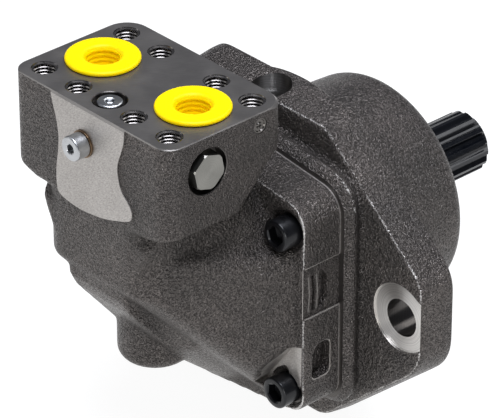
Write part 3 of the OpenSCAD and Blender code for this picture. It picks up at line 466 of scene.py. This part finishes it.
def cutIron(name, colour, turn, spacing, stretch, depth=0.00003, roughness=0.36, contrast=0.24):
    # iron cut by a milling tool: grey metal with fine parallel tool marks
    # turn is the turn of the marks' own axes, spacing is in mm and depth in metres
    material, tree, shader, place = newMaterial(name, Metallic=0.85)
    marked = addNode(tree, "ShaderNodeMapping", {"Vector": (place, "Object")}, vector_type="TEXTURE",
                     Rotation=turn, Scale=(1.0, stretch, stretch))
    marks = addNode(tree, "ShaderNodeTexNoise", {"Vector": (marked, "Vector")}, Scale=1000 / spacing,
                    Detail=3.0, Roughness=0.65)
    cloud = addNode(tree, "ShaderNodeTexNoise", {"Vector": (place, "Object")}, Scale=60.0, Detail=3.0)
    tone = toneRamp(tree, (marks, "Fac"), linear(colour, 1 - contrast), linear(colour, 1 + contrast),
                    (0.3, 0.72))
    tree.links.new(tone.outputs["Color"], shader.inputs["Base Color"])
    addGloss(tree, shader, (cloud, "Fac"), (0.3, 0.7), (roughness - 0.07, roughness + 0.08))
    addBump(tree, shader, (marks, "Fac"), 0.6, depth)
    return material


def turnedMetal(name, colour, point, direction, spacing=0.35, roughness=0.28):
    # a lathe leaves rings round its axis, which is given by a point in mm and a direction
    # the rings are noise read along the distance from the axis; the tangent runs along them and the gloss is
    # turned across them, which gives the cone of light of a turned face
    material, tree, shader, place = newMaterial(name, Metallic=1.0, Roughness=roughness, Anisotropic=0.8,
                                                Anisotropic_Rotation=0.25)
    centred = addNode(tree, "ShaderNodeVectorMath", {0: (place, "Object")}, operation="SUBTRACT",
                      in1=[p / 1000 for p in point])
    along = addNode(tree, "ShaderNodeVectorMath", {0: (centred, "Vector")}, operation="CROSS_PRODUCT",
                    in1=direction)
    radius = addNode(tree, "ShaderNodeVectorMath", {0: (along, "Vector")}, operation="LENGTH")
    depth = addNode(tree, "ShaderNodeVectorMath", {0: (centred, "Vector")}, operation="DOT_PRODUCT",
                    in1=direction)
    both = addNode(tree, "ShaderNodeMath", {0: (radius, "Value"), 1: (depth, "Value")}, operation="ADD")
    rings = addNode(tree, "ShaderNodeTexNoise", {"W": (both, 0)}, noise_dimensions="1D", Scale=1000 / spacing,
                    Detail=2.0)
    tone = toneRamp(tree, (rings, "Fac"), linear(colour, 0.8), linear(colour, 1.1), (0.3, 0.7))
    tree.links.new(tone.outputs["Color"], shader.inputs["Base Color"])
    tree.links.new(along.outputs["Vector"], shader.inputs["Tangent"])
    addBump(tree, shader, (rings, "Fac"), 0.35, 0.00003)
    return material


def smoothMetal(name, colour, roughness, metallic=1.0, coat=0.0):
    # plain finished metal, its gloss and tone broken a little by a fine cloud
    material, tree, shader, place = newMaterial(name, Metallic=metallic, Coat_Weight=coat)
    cloud = addNode(tree, "ShaderNodeTexNoise", {"Vector": (place, "Object")}, Scale=160.0, Detail=4.0)
    tone = toneRamp(tree, (cloud, "Fac"), linear(colour, 0.9), linear(colour, 1.08), (0.35, 0.65))
    tree.links.new(tone.outputs["Color"], shader.inputs["Base Color"])
    addGloss(tree, shader, (cloud, "Fac"), (0.3, 0.7), (max(roughness - 0.05, 0.04), roughness + 0.08))
    return material


def mouldedPlastic(name, colour, roughness=0.3):
    # injection-moulded polyethylene: a soft gloss over faint flow marks, a little light passing through
    material, tree, shader, place = newMaterial(name, Roughness=roughness, Specular_IOR_Level=0.12,
                                                Subsurface_Weight=0.3, Subsurface_Scale=0.004,
                                                Subsurface_Radius=(1.0, 0.7, 0.05))
    flow = addNode(tree, "ShaderNodeTexNoise", {"Vector": (place, "Object")}, Scale=50.0, Detail=2.0)
    tone = toneRamp(tree, (flow, "Fac"), linear(colour, 0.96), linear(colour, 1.02))
    tree.links.new(tone.outputs["Color"], shader.inputs["Base Color"])
    addBump(tree, shader, (flow, "Fac"), 0.2, 0.0002)
    return material


def rubber(name, colour="#141415"):
    # nitrile rubber: near black and matt, with a faint moulded grain
    material, tree, shader, place = newMaterial(name, Roughness=0.6, Base_Color=linear(colour))
    grain = addNode(tree, "ShaderNodeTexNoise", {"Vector": (place, "Object")}, Scale=900.0, Detail=2.0)
    addBump(tree, shader, (grain, "Fac"), 0.3, 0.00005)
    return material


# sizes that the solids have too, in mm; Z is up and Y runs out of the shaft's end
sizes = dict(tilt=40, crossBack=43, cavity=40.46, cavityEnd=85.1, parting=-33,
             plateRear=-60, plateHalf=78, plateTop=66, plateBottom=62, crown=9, screwX=65, screwZ=49.5,
             blockBack=142, blockFront=57, blockHalf=63, blockRound=10, portFace=126.6,
             portSpacing=72, portBack=100, portBore=12.5, boltAcross=27.8, boltAlong=57.2,
             flangeHalf=130, flangeHeight=95, flangeFlat=52, earHalf=27, earX=112, earHole=11,
             spigot=90, spigotHeight=12)
# where the shoulders of the small plugs stand, the shaft's axis and the middle of the case drain's seat
plugPlaces = dict(rear=(-3, -143.3, 105.5), portFace=(0, -126, sizes["portFace"] - 3.45),
                  side=(55.05, -114, 106), expander=(58, -77.5, 119), flangeDrain=(0, -12, 73.05))
shaftLine = (0, 0, 0)
caseDrain = (0, -97, -40.7)

castIron = sandCastIron("oiled sand-cast iron", "#464341", "#56514e", "#d6d3d0")
portFaceCut = cutIron("fly-cut iron port face", "#827f7c", turn=(0, 0, math.radians(-42)), spacing=0.5,
                      stretch=14, contrast=0.09)
milledPatch = cutIron("end-milled iron rear face", "#aaa6a2", turn=(0, math.radians(55), 0), spacing=0.6,
                      stretch=3, depth=0.0001, roughness=0.45, contrast=0.3)
boredIron = turnedMetal("bored iron", "#5c5957", shaftLine, (0, 1, 0), spacing=0.5, roughness=0.3)
boredDrain = turnedMetal("bored iron of the upper drain port", "#8d8a87", (0, -12, 0), (0, 0, 1), spacing=0.6,
                         roughness=0.32)
facedLeft, facedRight = (
    turnedMetal(f"iron faced round the {word} mounting hole", "#dedbd7", (side * sizes["earX"], -21, 0),
                (0, 1, 0), spacing=0.6, roughness=0.36) for word, side in (("left", -1), ("right", 1)))
tappedIron = smoothMetal("tapped thread in iron", "#7e7b79", 0.25)
blackOxide = smoothMetal("black-oxided steel", "#141518", 0.3, metallic=0.6, coat=0.2)
hardenedShaft = smoothMetal("hardened and oiled shaft steel", "#0d1016", 0.22, metallic=0.5, coat=0.25)
zincPlate = smoothMetal("bright zinc plate", "#b4b6b8", 0.3)
stainless = turnedMetal("turned stainless steel", "#85847f", (sizes["blockHalf"], -114, 106), (1, 0, 0),
                        spacing=0.3, roughness=0.3)
copperRing = smoothMetal("annealed copper, gone brown", "#74604c", 0.35)
groundSteel = smoothMetal("ground steel", "#a5a6a9", 0.25)
bearingSteel = smoothMetal("polished bearing steel", "#c2c4c8", 0.12)
pressedSteel = smoothMetal("pressed sheet steel", "#85837f", 0.35)
darkPressed = smoothMetal("darkened pressed steel", "#605d5a", 0.3)
springSteel = smoothMetal("hardened spring steel", "#6a6f78", 0.28)
yellowPolyethylene = mouldedPlastic("yellow moulded polyethylene", "#f0d000", 0.38)
nitrile = rubber("black nitrile rubber")
print("finishes ready")


def tiltPoint(x, across, along):
    # a point given in the barrel's own frame: x, height across its axis, distance along it
    c, w = math.cos(math.radians(sizes["tilt"])), math.sin(math.radians(sizes["tilt"]))
    return (x, -sizes["crossBack"] + across * w - along * c, across * c + along * w)


def plateOutline(grow):
    # the bolted plate in X and Z, grown by so many mm
    x, top, low = sizes["plateHalf"] + grow, sizes["plateTop"] + grow, sizes["plateBottom"] + grow
    points = [(x, -low), (x, top), (0, top + sizes["crown"]),
              (-x, top), (-x, -low), (0, -low - sizes["crown"])]
    return roundedOutline(points, [12 + grow, 15 + grow, 60, 15 + grow, 12 + grow, 60])


# grain, rounds and wornFrom shape the cast skin; frontTrim and frontRound set the block's front back and
# round it, where the photo departs from the solids; the rest belongs to the cuts
barrelHousing = dict(grain=1.35, rounds=5, wornFrom=-62, edgeBreak=0.6, frontTrim=1.2, frontRound=14,
                     padProud=0.55, threadRadius=7, threadDepth=22, channelX=28, channelBack=106,
                     screwSeat=10.2, screwHole=6.75)


def blockOutline(grow):
    # the port block seen from above, grown by so many mm
    x, back = sizes["blockHalf"] + grow, sizes["blockBack"] - 0.5 + grow
    front = sizes["blockFront"] + barrelHousing["frontTrim"] - grow
    rear, fore = sizes["blockRound"] + grow, barrelHousing["frontRound"] + grow
    return roundedOutline([(-x, -back), (x, -back), (x, -front), (-x, -front)], [rear, rear, fore, fore])


def flangeOutline(shrink):
    # the two-bolt flange in X and Z, shrunk by so many mm
    x, z = sizes["flangeHalf"] - shrink, sizes["flangeHeight"] - shrink
    ear, flat = sizes["earHalf"], sizes["flangeFlat"]
    corners = [(x, -ear), (x, ear), (flat, z), (-flat, z), (-x, ear), (-x, -ear), (-flat, -z), (flat, -z)]
    return roundedOutline(corners, [30, 22, 18, 18, 22, 30, 18, 18])


def threadedHole(mouth, axis, radius, depth, pitch=2.0, mouthRadius=7.3, threadDepth=0.95):
    # the wall steps in and out by the thread's depth at every pitch, from the floor up to a chamfered mouth
    core = radius - threadDepth
    profile = [(0, -depth - 3), (core, -depth)]
    for k in range(int((depth - 1.3) / pitch)):
        z = -depth + 0.4 + k * pitch
        profile += [(core, z), (core, z + pitch * 0.25), (radius, z + pitch * 0.62), (core, z + pitch)]
    profile += [(core, -0.9), (radius, -0.6), (mouthRadius, 0), (mouthRadius + 0.7, 0.7), (0, 0.7)]
    return turned("hole", profile, mouth, axis, (), 48)


def placed(piece, node, body, slot, *finishes):
    # stands for the node, rides on the body and, where finishes are given, wears them
    if finishes:
        giveFinishes(piece, finishes)
    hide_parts(node)
    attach(piece, body)
    return piece


# windows and ribs of the upper side pocket and the dee of the lower one, in Y and Z, with their depths
windowOutlines = dict(
    scoop=[(-48.2, 2), (-45.5, 1), (-41.6, 7), (-41.6, 20), (-45.5, 25), (-48.2, 24), (-47.2, 12)],
    slot=[(-53.4, 2), (-51.4, 2), (-50.4, 12), (-51.4, 24), (-53.4, 24), (-52.4, 12)],
    rearRib=[(-56, 2), (-54.8, 2), (-53.8, 12), (-54.8, 24), (-56, 24), (-55, 12)],
    foreRib=[(-50.2, 2), (-49, 2), (-48, 12), (-49, 24), (-50.2, 24), (-49.2, 12)],
    dee=[(-53, -42), (-40, -42), (-40, -20), (-53, -20)])
windowDepths = dict(scoop=5, slot=3, rearRib=1.4, foreRib=1.4, dee=7)
pocketLow, pocketHigh, pocketDepth = -1, 30, 1.2
rimWidth, rimDepth = 0.7, 0.45
# the bright pad on the rear face: shares of padScale across, and of the height from padLow to the port face
padOutline = [(-0.52, 1.05), (-0.52, 1), (-0.49, 0.88), (-0.45, 0.77), (-0.42, 0.61), (-0.43, 0.45),
              (-0.46, 0.29), (-0.46, 0.1), (-0.4, 0.03), (-0.18, 0), (0.02, 0.01), (0.22, 0.04), (0.4, 0.09),
              (0.57, 0.15), (0.62, 0.21), (0.6, 0.29), (0.48, 0.4), (0.43, 0.53), (0.43, 0.64), (0.48, 0.77),
              (0.52, 0.88), (0.53, 1), (0.53, 1.05)]
padScale, padLow = 56, 64
# the line of each hole in the barrel housing: its axis and a point on it
holeLines = dict(shaft=("y", shaftLine), drain=("z", caseDrain), portFace=("z", plugPlaces["portFace"]),
                 rear=("y", plugPlaces["rear"]), side=("x", plugPlaces["side"]),
                 expander=("x", plugPlaces["expander"]))
# what is filled there: start and end on the axis, and radius
barrelFills = [("shaft", -53, sizes["parting"], 46), ("drain", -39, 12, 12), ("drain", -40.8, -30, 16),
               ("portFace", 110, 125, 9.8), ("rear", -141.2, -126, 5.6), ("side", 44, 62.6, 13.8),
               ("expander", 55, 62.6, 5)]
# what is bored, in rounds whose rods don't touch: start and end on the axis, radius, columns, widened mouth
barrelBores = [
    [("drain", -30, -1, 6, 32), ("portFace", sizes["portFace"] - 14, sizes["portFace"], 5.05),
     ("rear", -150, -131, 5.05, 32), ("side", 49, 60, 8.05)],
    [("shaft", -51, -20, 42.5), ("drain", -27, -70, 11, 48),
     ("portFace", sizes["portFace"] - 3.5, sizes["portFace"] + toolPast, 9.25, 64, 0.4),
     ("side", 55, 66, 13.25, 96, 0.5), ("expander", 57, 66, 4.55, 32)],
    [("drain", caseDrain[2], -90, 15.5)]]


def holeRods(rows):
    return [rodAlong(*holeLines[name], *row) for name, *row in rows]


def portBoltPlaces():
    return [(side * sizes["portSpacing"] / 2 + dx * sizes["boltAcross"] / 2,
             -sizes["portBack"] + dy * sizes["boltAlong"] / 2, sizes["portFace"])
            for side in (-1, 1) for dx in (-1, 1) for dy in (-1, 1)]


def screwPlaces():
    return [(x * sizes["screwX"], 0, z * sizes["screwZ"]) for x in (-1, 1) for z in (-1, 1)]


def portPlace(side):
    return (side * sizes["portSpacing"] / 2, -sizes["portBack"], 0)


def channelPlace(side):
    return (side * barrelHousing["channelX"], -barrelHousing["channelBack"], 0)


def trimmed(piece, outlineOf, levels, finish, axis="z"):
    # cut back to an outline that grows or shrinks from level to level, given as (level, growth)
    outlines = [outlineOf(grow) for level, grow in levels]
    cut(piece, [loft(outlines, [level for level, grow in levels], axis)], finish, "INTERSECT")


def filledBarrelHousing():
    # every cut hole is filled first, so that the cast skin runs over it, and is cut again with a crisp edge
    skin = copyOfNode("barrel_housing", "barrelHousingCasting")
    fill = [rod(tiltPoint(0, 0, -4), tiltPoint(0, 0, 86.5), 41.6)] + holeRods(barrelFills)
    fill += [rodAlong("z", place, 102, 125, 6.6) for place in portBoltPlaces()]
    for side in (-1, 1):
        fill.append(rodAlong("z", portPlace(side), 86, 125, 13))
        fill.append(rodAlong("z", channelPlace(side), 50, 94, 5.6))
        ends = sorted((side * 66, side * sizes["plateHalf"]))
        fill.append(box((ends[0], sizes["plateRear"], -46), (ends[1], sizes["parting"], 32)))
    fill += [prism(blockOutline(0), 118, 131), prism(plateOutline(0), -40, -28, "y")]
    return joined(skin, fill)


def trimBarrelHousing(skin):
    top, parting, edge = sizes["portFace"], sizes["parting"], barrelHousing["edgeBreak"]
    rear = -sizes["blockBack"] + barrelHousing["padProud"]
    cut(skin, [box((-90, rear, -90), (90, parting, 140))], castIron, "INTERSECT")
    # the plate's worn edge at the parting face, a bright strip a little lower than the cast skin
    trimmed(skin, plateOutline, [(-160, 90), (-36, 90), (-36, 0.4), (parting - 1.3, 0.4),
                                 (parting - 1, -0.2), (-20, -0.2)], milledPatch, "y")
    pad = curveThrough([(x * padScale, padLow + z * (top - padLow)) for x, z in padOutline])
    cut(skin, [prism(pad, -sizes["blockBack"], -138, "y")], milledPatch, "UNION")
    # the front corners, rounded as the photo has them, then the port face with its broken edge; lower down
    # both outlines are so wide that they keep everything
    trimmed(skin, blockOutline, [(-150, 80), (72, 80), (72, 6), (86, 0.7), (140, 0.7)], castIron)
    trimmed(skin, blockOutline, [(-150, 80), (top - 4, 80), (top - 4, 0.75), (top - 0.75 - edge, 0.75),
                                 (top, -edge)], portFaceCut)


def boreBarrelHousing(skin):
    top, look = sizes["portFace"], barrelHousing
    cut(skin, [rod(tiltPoint(0, 0, -18), tiltPoint(0, 0, sizes["cavityEnd"]), sizes["cavity"])], boredIron)
    for rows in barrelBores:
        cut(skin, holeRods(rows), boredIron)
    cut(skin, [threadedHole(place, (0, 0, 1), look["threadRadius"], look["threadDepth"])
               for place in portBoltPlaces()], tappedIron)
    cut(skin, [rodAlong("z", portPlace(side), top - 38, top + toolPast, sizes["portBore"], 64, 0.6)
               for side in (-1, 1)], boredIron)
    cut(skin, [rodAlong("z", channelPlace(side), 52, 92.6, 5, 32) for side in (-1, 1)], boredIron)
    cut(skin, [rodAlong("y", place, -68, -57, look["screwSeat"]) for place in screwPlaces()], boredIron)
    cut(skin, [rodAlong("y", place, -62, -20, look["screwHole"], 48) for place in screwPlaces()], boredIron)


def sideSpan(side, depth):
    # the two X between which a cut goes so deep into the plate's side
    return sorted((side * (sizes["plateHalf"] - depth), side * (sizes["plateHalf"] + 2)))


def cutPocket(skin, side):
    # on one side of the plate: the milled run-out by the lower screw, the upper pocket and the dee under it
    runOut = np.array([(49, -49.5), (70, -20.5), (79, -18.5), (79, -49.5)]) * (side, 1)
    cut(skin, [prism(runOut, -84, -59.6, "y")], milledPatch)
    # a shallow step first leaves the pocket's rim bright
    for margin, depth, finish in ((rimWidth, rimDepth, milledPatch), (0, pocketDepth, castIron)):
        near, far = sideSpan(side, depth)
        cut(skin, [box((near, -61, pocketLow - margin), (far, -32, pocketHigh + margin))], finish)
    rim = np.array([(75.6, -60.5), (77.5, -60.5), (77.5, -58.6)]) * (side, 1)
    cut(skin, [prism(rim, pocketLow, pocketHigh)], milledPatch)
    dee = roundedOutline(windowOutlines["dee"], [3, 4, 4, 8], 6)
    cut(skin, [prism(grown(dee, 0.6), *sideSpan(side, rimDepth), "x")], milledPatch)
    cut(skin, [prism(dee, *sideSpan(side, windowDepths["dee"]), "x")], castIron)
    for name, finish in (("scoop", castIron), ("slot", castIron), ("rearRib", portFaceCut),
                         ("foreRib", portFaceCut)):
        window = roundedOutline(windowOutlines[name], 0.4, 4)
        cut(skin, [prism(window, *sideSpan(side, windowDepths[name]), "x")], finish)


def buildBarrelHousing():
    skin = filledBarrelHousing()
    castSkin(skin, barrelHousing["grain"], barrelHousing["rounds"], barrelHousing["wornFrom"])
    giveFinishes(skin, (castIron, portFaceCut, milledPatch, boredIron, tappedIron))
    trimBarrelHousing(skin)
    boreBarrelHousing(skin)
    for side in (-1, 1):
        cutPocket(skin, side)
    shadeByAngle(skin, 32)
    return placed(skin, "barrel_housing", "motor_body", "cast_iron")


buildBarrelHousing()
print("barrel housing built")


# the nose is a cone with a rounded end and a hollow foot on the spigot; the bore's profile of (radius, y) has
# the rear bearing's seat, a shoulder, the seal carrier's seat, a groove for its ring and a chamfered mouth
bearingHousing = dict(
    grain=1.45, rounds=5, wornFrom=-80, noseRoot=70, noseFront=66, noseLength=75, noseRound=9, footRound=3,
    earFace=20.5, drainMouth=11.5, drainThread=6.05, drainChannel=3, screwThread=6.05,
    bore=[(0, -40), (45.05, -40), (45.05, -8), (38, -8), (38, 30), (40.05, 30), (40.05, 68), (42.5, 68),
          (42.5, 70.55), (40.05, 70.55), (40.05, 73.5), (42, 75.5), (42, 80), (0, 80)])


def earPlace(side):
    return (side * sizes["earX"], 0, 0)


def noseProfile():
    # rows of (radius, y) from inside the flange, over spigot, foot and cone, to the rounded end
    look, height, spigot = bearingHousing, sizes["spigotHeight"], sizes["spigot"]
    end, turn, foot = look["noseLength"], look["noseRound"], look["footRound"]
    slope = (look["noseRoot"] - look["noseFront"]) / end
    profile = [(0, -8), (spigot - 2, -8), (spigot, -6), (spigot, height - 2), (spigot - 1.5, height)]
    for t in np.linspace(0, math.pi / 2, 7):
        profile.append((look["noseRoot"] - slope * (height + foot) + foot * (1 - math.sin(t)),
                        height + foot * (1 - math.cos(t))))
    for t in np.linspace(0, math.pi / 2, 11):
        profile.append((look["noseFront"] + slope * (turn - turn * math.sin(t)) - turn + turn * math.cos(t),
                        end - turn + turn * math.sin(t)))
    return profile + [(0, end)]


def filledBearingHousing():
    # the holes of the casting itself are filled before it gets its skin
    skin = copyOfNode("bearing_housing", "bearingHousingCasting")
    fill = [rodAlong("y", shaftLine, -36, 6, 56), rodAlong("z", plugPlaces["flangeDrain"], 30, 91, 12.4)]
    for side in (-1, 1):
        fill.append(rodAlong("y", earPlace(side), -20.9, 3, 11.8))
        fill += [rodAlong("y", place, -33, -12, 6.8) for place in screwPlaces() if place[0] * side > 0]
    fill += [prism(flangeOutline(0), -4, 6, "y"), prism(flangeOutline(3), -21, -10, "y"),
             prism(plateOutline(1.5), -38, -32, "y")]
    return joined(skin, fill)


def buildBearingHousing():
    look, drain = bearingHousing, plugPlaces["flangeDrain"]
    skin = filledBearingHousing()
    castSkin(skin, look["grain"], look["rounds"], look["wornFrom"])
    giveFinishes(skin, (castIron, facedLeft, boredIron, tappedIron, facedRight, boredDrain))
    cut(skin, [box((-140, sizes["parting"], -110), (140, 0, 110))], boredIron, "INTERSECT")
    cut(skin, [turned("nose", noseProfile(), shaftLine, (0, 1, 0), (), 160)], castIron, "UNION")
    cut(skin, [turned("bore", look["bore"], shaftLine, (0, 1, 0), (), 128)], boredIron)
    # the upper drain port and the notch through which it opens behind the flange
    cut(skin, [rodAlong("z", drain, 73, 98, look["drainMouth"], 96)], boredDrain)
    cut(skin, [box((-10.8, -26, 77), (10.8, -14, 98))], castIron)
    cut(skin, [rodAlong("z", drain, 61, 75, look["drainThread"], 32)], tappedIron)
    cut(skin, [rodAlong("z", drain, 34, 63, look["drainChannel"], 24)], tappedIron)
    for side, finish in ((-1, facedLeft), (1, facedRight)):
        cut(skin, [rodAlong("y", earPlace(side), -26, -20, look["earFace"], 128)], finish)
    cut(skin, [rodAlong("y", earPlace(side), -30, 8, sizes["earHole"], 96) for side in (-1, 1)], boredIron)
    cut(skin, [rodAlong("y", place, -40, -14, look["screwThread"], 32) for place in screwPlaces()],
        tappedIron)
    shadeByAngle(skin, 32)
    return placed(skin, "bearing_housing", "motor_body", "cast_iron")


buildBearingHousing()
print("bearing housing built")


# plugs with a socket: radius and reach of the thread, radius and height of the head, half width of the socket
socketPlugs = dict(
    rear=dict(axis=(0, -1, 0), thread=5, reach=10, head=7, height=8, key=2.5, spin=12),
    portFace=dict(axis=(0, 0, 1), thread=5, reach=9, head=7, height=3.2, key=2.5, spin=20),
    flangeDrain=dict(axis=(0, 0, 1), thread=6, reach=10, head=8.5, height=9, key=3, spin=0))


def socketPlug(name, place, axis, thread, reach, head, height, key, spin):
    # threaded shank, head with broken edges, hexagon socket whose foot is a cone
    floor = height - max(height * 0.7, 2.4)
    profile = [(0, -reach), (thread - 0.8, -reach), (thread, 0.8 - reach), (thread, 0),
               (head - 0.3, 0), (head, 0.3), (head, height - 0.8), (head - 0.25, height - 0.3),
               (head - 0.8, height), (key + 0.75, height), (key, height - 0.45, 1), (key, floor, 1),
               (key * 0.95, floor - 0.05, 1), (0, floor - key * 0.4)]
    return turned(name, profile, place, axis, (zincPlate,), 96, spin, 18)


def buildSocketPlugs():
    nodes = dict(rear="rear_plug", portFace="port_face_plug", flangeDrain="flange_drain_plug")
    for word, node in nodes.items():
        plug = socketPlug(word + "Plug", plugPlaces[word], **socketPlugs[word])
        placed(plug, node, "motor_body", "zinc_plate")


# side plug: half width over its flats, height, and the cone that cuts the head's corners back to arcs
hexHead = dict(flats=9.5, height=9.2, coneRadius=10.2, coneSlope=0.62, coneDepth=1.2, spin=42)


def buildHexPlug():
    look = hexHead
    profile = [(0, -5), (7.4, -5), (8, -4.4), (8, 0), (10.8, 0), (11, 0.2), (11, 1.3), (10.8, 1.5),
               (look["flats"], 1.5, 1)]
    for z in np.linspace(look["height"] - look["coneDepth"], look["height"], 3):
        profile.append((look["flats"], z, 1, look["coneRadius"] + (look["height"] - z) * look["coneSlope"]))
    profile.append((0, look["height"]))
    placed(turned("sideHexPlug", profile, plugPlaces["side"], (1, 0, 0), (stainless,), 96, look["spin"], 14),
           "side_hex_plug", "motor_body", "stainless_steel")


def buildExpanderPlug():
    # a pressed dish with a cross cut into its face
    dish = [(0, 0), (4.3, 0), (4.5, 0.2), (4.5, 4.4), (4.3, 4.6), (3.7, 4.6), (3.2, 3.9), (1.9, 3.8),
            (1.5, 4.4), (0, 4.55)]
    x, y, z = plugPlaces["expander"]
    expander = turned("expanderPlug", dish, (x, y, z), (1, 0, 0), (darkPressed,), 48)
    for halfY, halfZ in ((3.5, 0.4), (0.4, 3.5)):
        cut(expander, [box((x + 3.9, y - halfY, z - halfZ), (x + 6, y + halfY, z + halfZ))], darkPressed)
    shadeByAngle(expander, 30)
    placed(expander, "expander_plug", "motor_body", "zinc_plate")


# socket-head cap screw: radius and height of its head, Y of its seat, half width of its socket, shank
capScrew = dict(head=9, height=12, seat=-57.05, key=5, thread=6, length=41)


def buildScrews():
    r, height, key = capScrew["head"], capScrew["height"], capScrew["key"]
    thread, length = capScrew["thread"], capScrew["length"]
    profile = [(0, -length), (thread - 1, -length), (thread, 1 - length), (thread, -0.02),
               (r - 0.2, 0), (r, 0.2), (r, height - 1.1), (r - 0.15, height - 0.6), (r - 0.6, height - 0.2),
               (r - 1.1, height), (key + 1.1, height), (key, height - 0.65, 1), (key, 6.4, 1), (0, 4.6)]
    # each screw was left at its own turn
    heads = [turned("screw", profile, (x * sizes["screwX"], capScrew["seat"], z * sizes["screwZ"]),
                    (0, -1, 0), (blackOxide,), 96, 7 * x + 11 * z) for x in (-1, 1) for z in (-1, 1)]
    screws = joined(heads[0], heads[1:])
    screws.name = "housingScrews"
    shadeByAngle(screws, 30)
    placed(screws, "housing_screws", "motor_body", "black_steel")


# transport plug in the port: narrowing is what the hole's radius loses from rib to rib
portPlug = dict(disc=20.5, thickness=2.9, lipRound=0.9, shoulderRound=1.9, skirt=12.25, reach=20, gap=0.3,
                hole=9.4, ribs=5, ribPitch=2.7, ribDepth=0.28, narrowing=0.28)


def buildPortPlugs():
    # a domed disc on a skirt; its hole narrows towards the bottom and has moulded ribs
    p = portPlug
    high, lipRound, shoulderRound = p["thickness"], p["lipRound"], p["shoulderRound"]
    profile = [(0, -p["reach"]), (11, -p["reach"]), (p["skirt"], 2 - p["reach"]), (p["skirt"], 0)]
    quarter = np.linspace(0, math.pi / 2, 8)
    profile += [(p["disc"] - lipRound + lipRound * math.sin(a), lipRound - lipRound * math.cos(a))
                for a in quarter]
    profile += [(p["disc"] - shoulderRound + shoulderRound * math.cos(a), high - 1.8 + 1.6 * math.sin(a))
                for a in quarter]
    profile += [(15.5, high - 0.05), (13, high), (11.9, high - 0.05), (11.1, high - 0.3), (10.4, high - 0.8),
                (9.9, high - 1.5), (9.6, high - 2.2)]
    for k in range(p["ribs"]):
        r, z, depth = p["hole"] - p["narrowing"] * k, 0.8 - p["ribPitch"] * k, p["ribDepth"]
        profile += [(r, z), (r - depth * 0.7, z - 0.35), (r - depth, z - 0.8), (r - depth, z - 1.2),
                    (r - depth * 0.6, z - 1.7), (r - 0.1, z - 2.1)]
    profile += [(7.6, -13.2), (7.2, -16.4), (6.6, -17), (0, -17)]
    for side, letter in ((-1, "a"), (1, "b")):
        x, y, _ = portPlace(side)
        plug = turned("portPlug" + letter.upper(), profile, (x, y, sizes["portFace"] + p["gap"]), (0, 0, 1),
                      (yellowPolyethylene,), 128, 0, 50)
        placed(plug, "port_plug_" + letter, "plug_" + letter + "_body", "yellow_plastic")


buildSocketPlugs()
buildHexPlug()
buildExpanderPlug()
buildScrews()
buildPortPlugs()
print("plugs and screws built")


def dress(node, body, material, slot, bevel=0.25, angle=30):
    # the node's own shape, merged, with its sharp edges broken by a fine bevel
    words = node.split("_")
    piece = copyOfNode(node, words[0] + "".join(w.title() for w in words[1:]) + "Dressed")
    shadeByAngle(piece, angle)
    change = piece.modifiers.new("broken edges", "BEVEL")
    change.width = bevel / 1000
    change.segments = 2
    change.limit_method = "ANGLE"
    change.angle_limit = math.radians(angle)
    change.use_clamp_overlap = True
    change.harden_normals = True
    return placed(piece, node, body, slot, material)


finishOfSlot = {
    "machined_steel": groundSteel, "bearing_steel": bearingSteel, "pressed_steel": pressedSteel,
    "spring_steel": springSteel, "black_steel": blackOxide, "stainless_steel": stainless,
    "zinc_plate": zincPlate, "copper": copperRing, "seal_rubber": nitrile,
    "yellow_plastic": yellowPolyethylene, "dark_steel": hardenedShaft, "cast_iron": castIron}
slotOf = {part["node"]: part["material_slot"] for part in frame["record"]["subparts"]}
for node, thing in frame["nodes"].items():
    giveFinishes(thing, [finishOfSlot[slotOf[node]]])
for node, body in {"rear_plug_washer": "motor_body", "shaft": "shaft_group", "seal_carrier": "motor_body",
                   "retaining_ring": "motor_body"}.items():
    dress(node, body, finishOfSlot[slotOf[node]], slotOf[node])
print("fittings dressed")
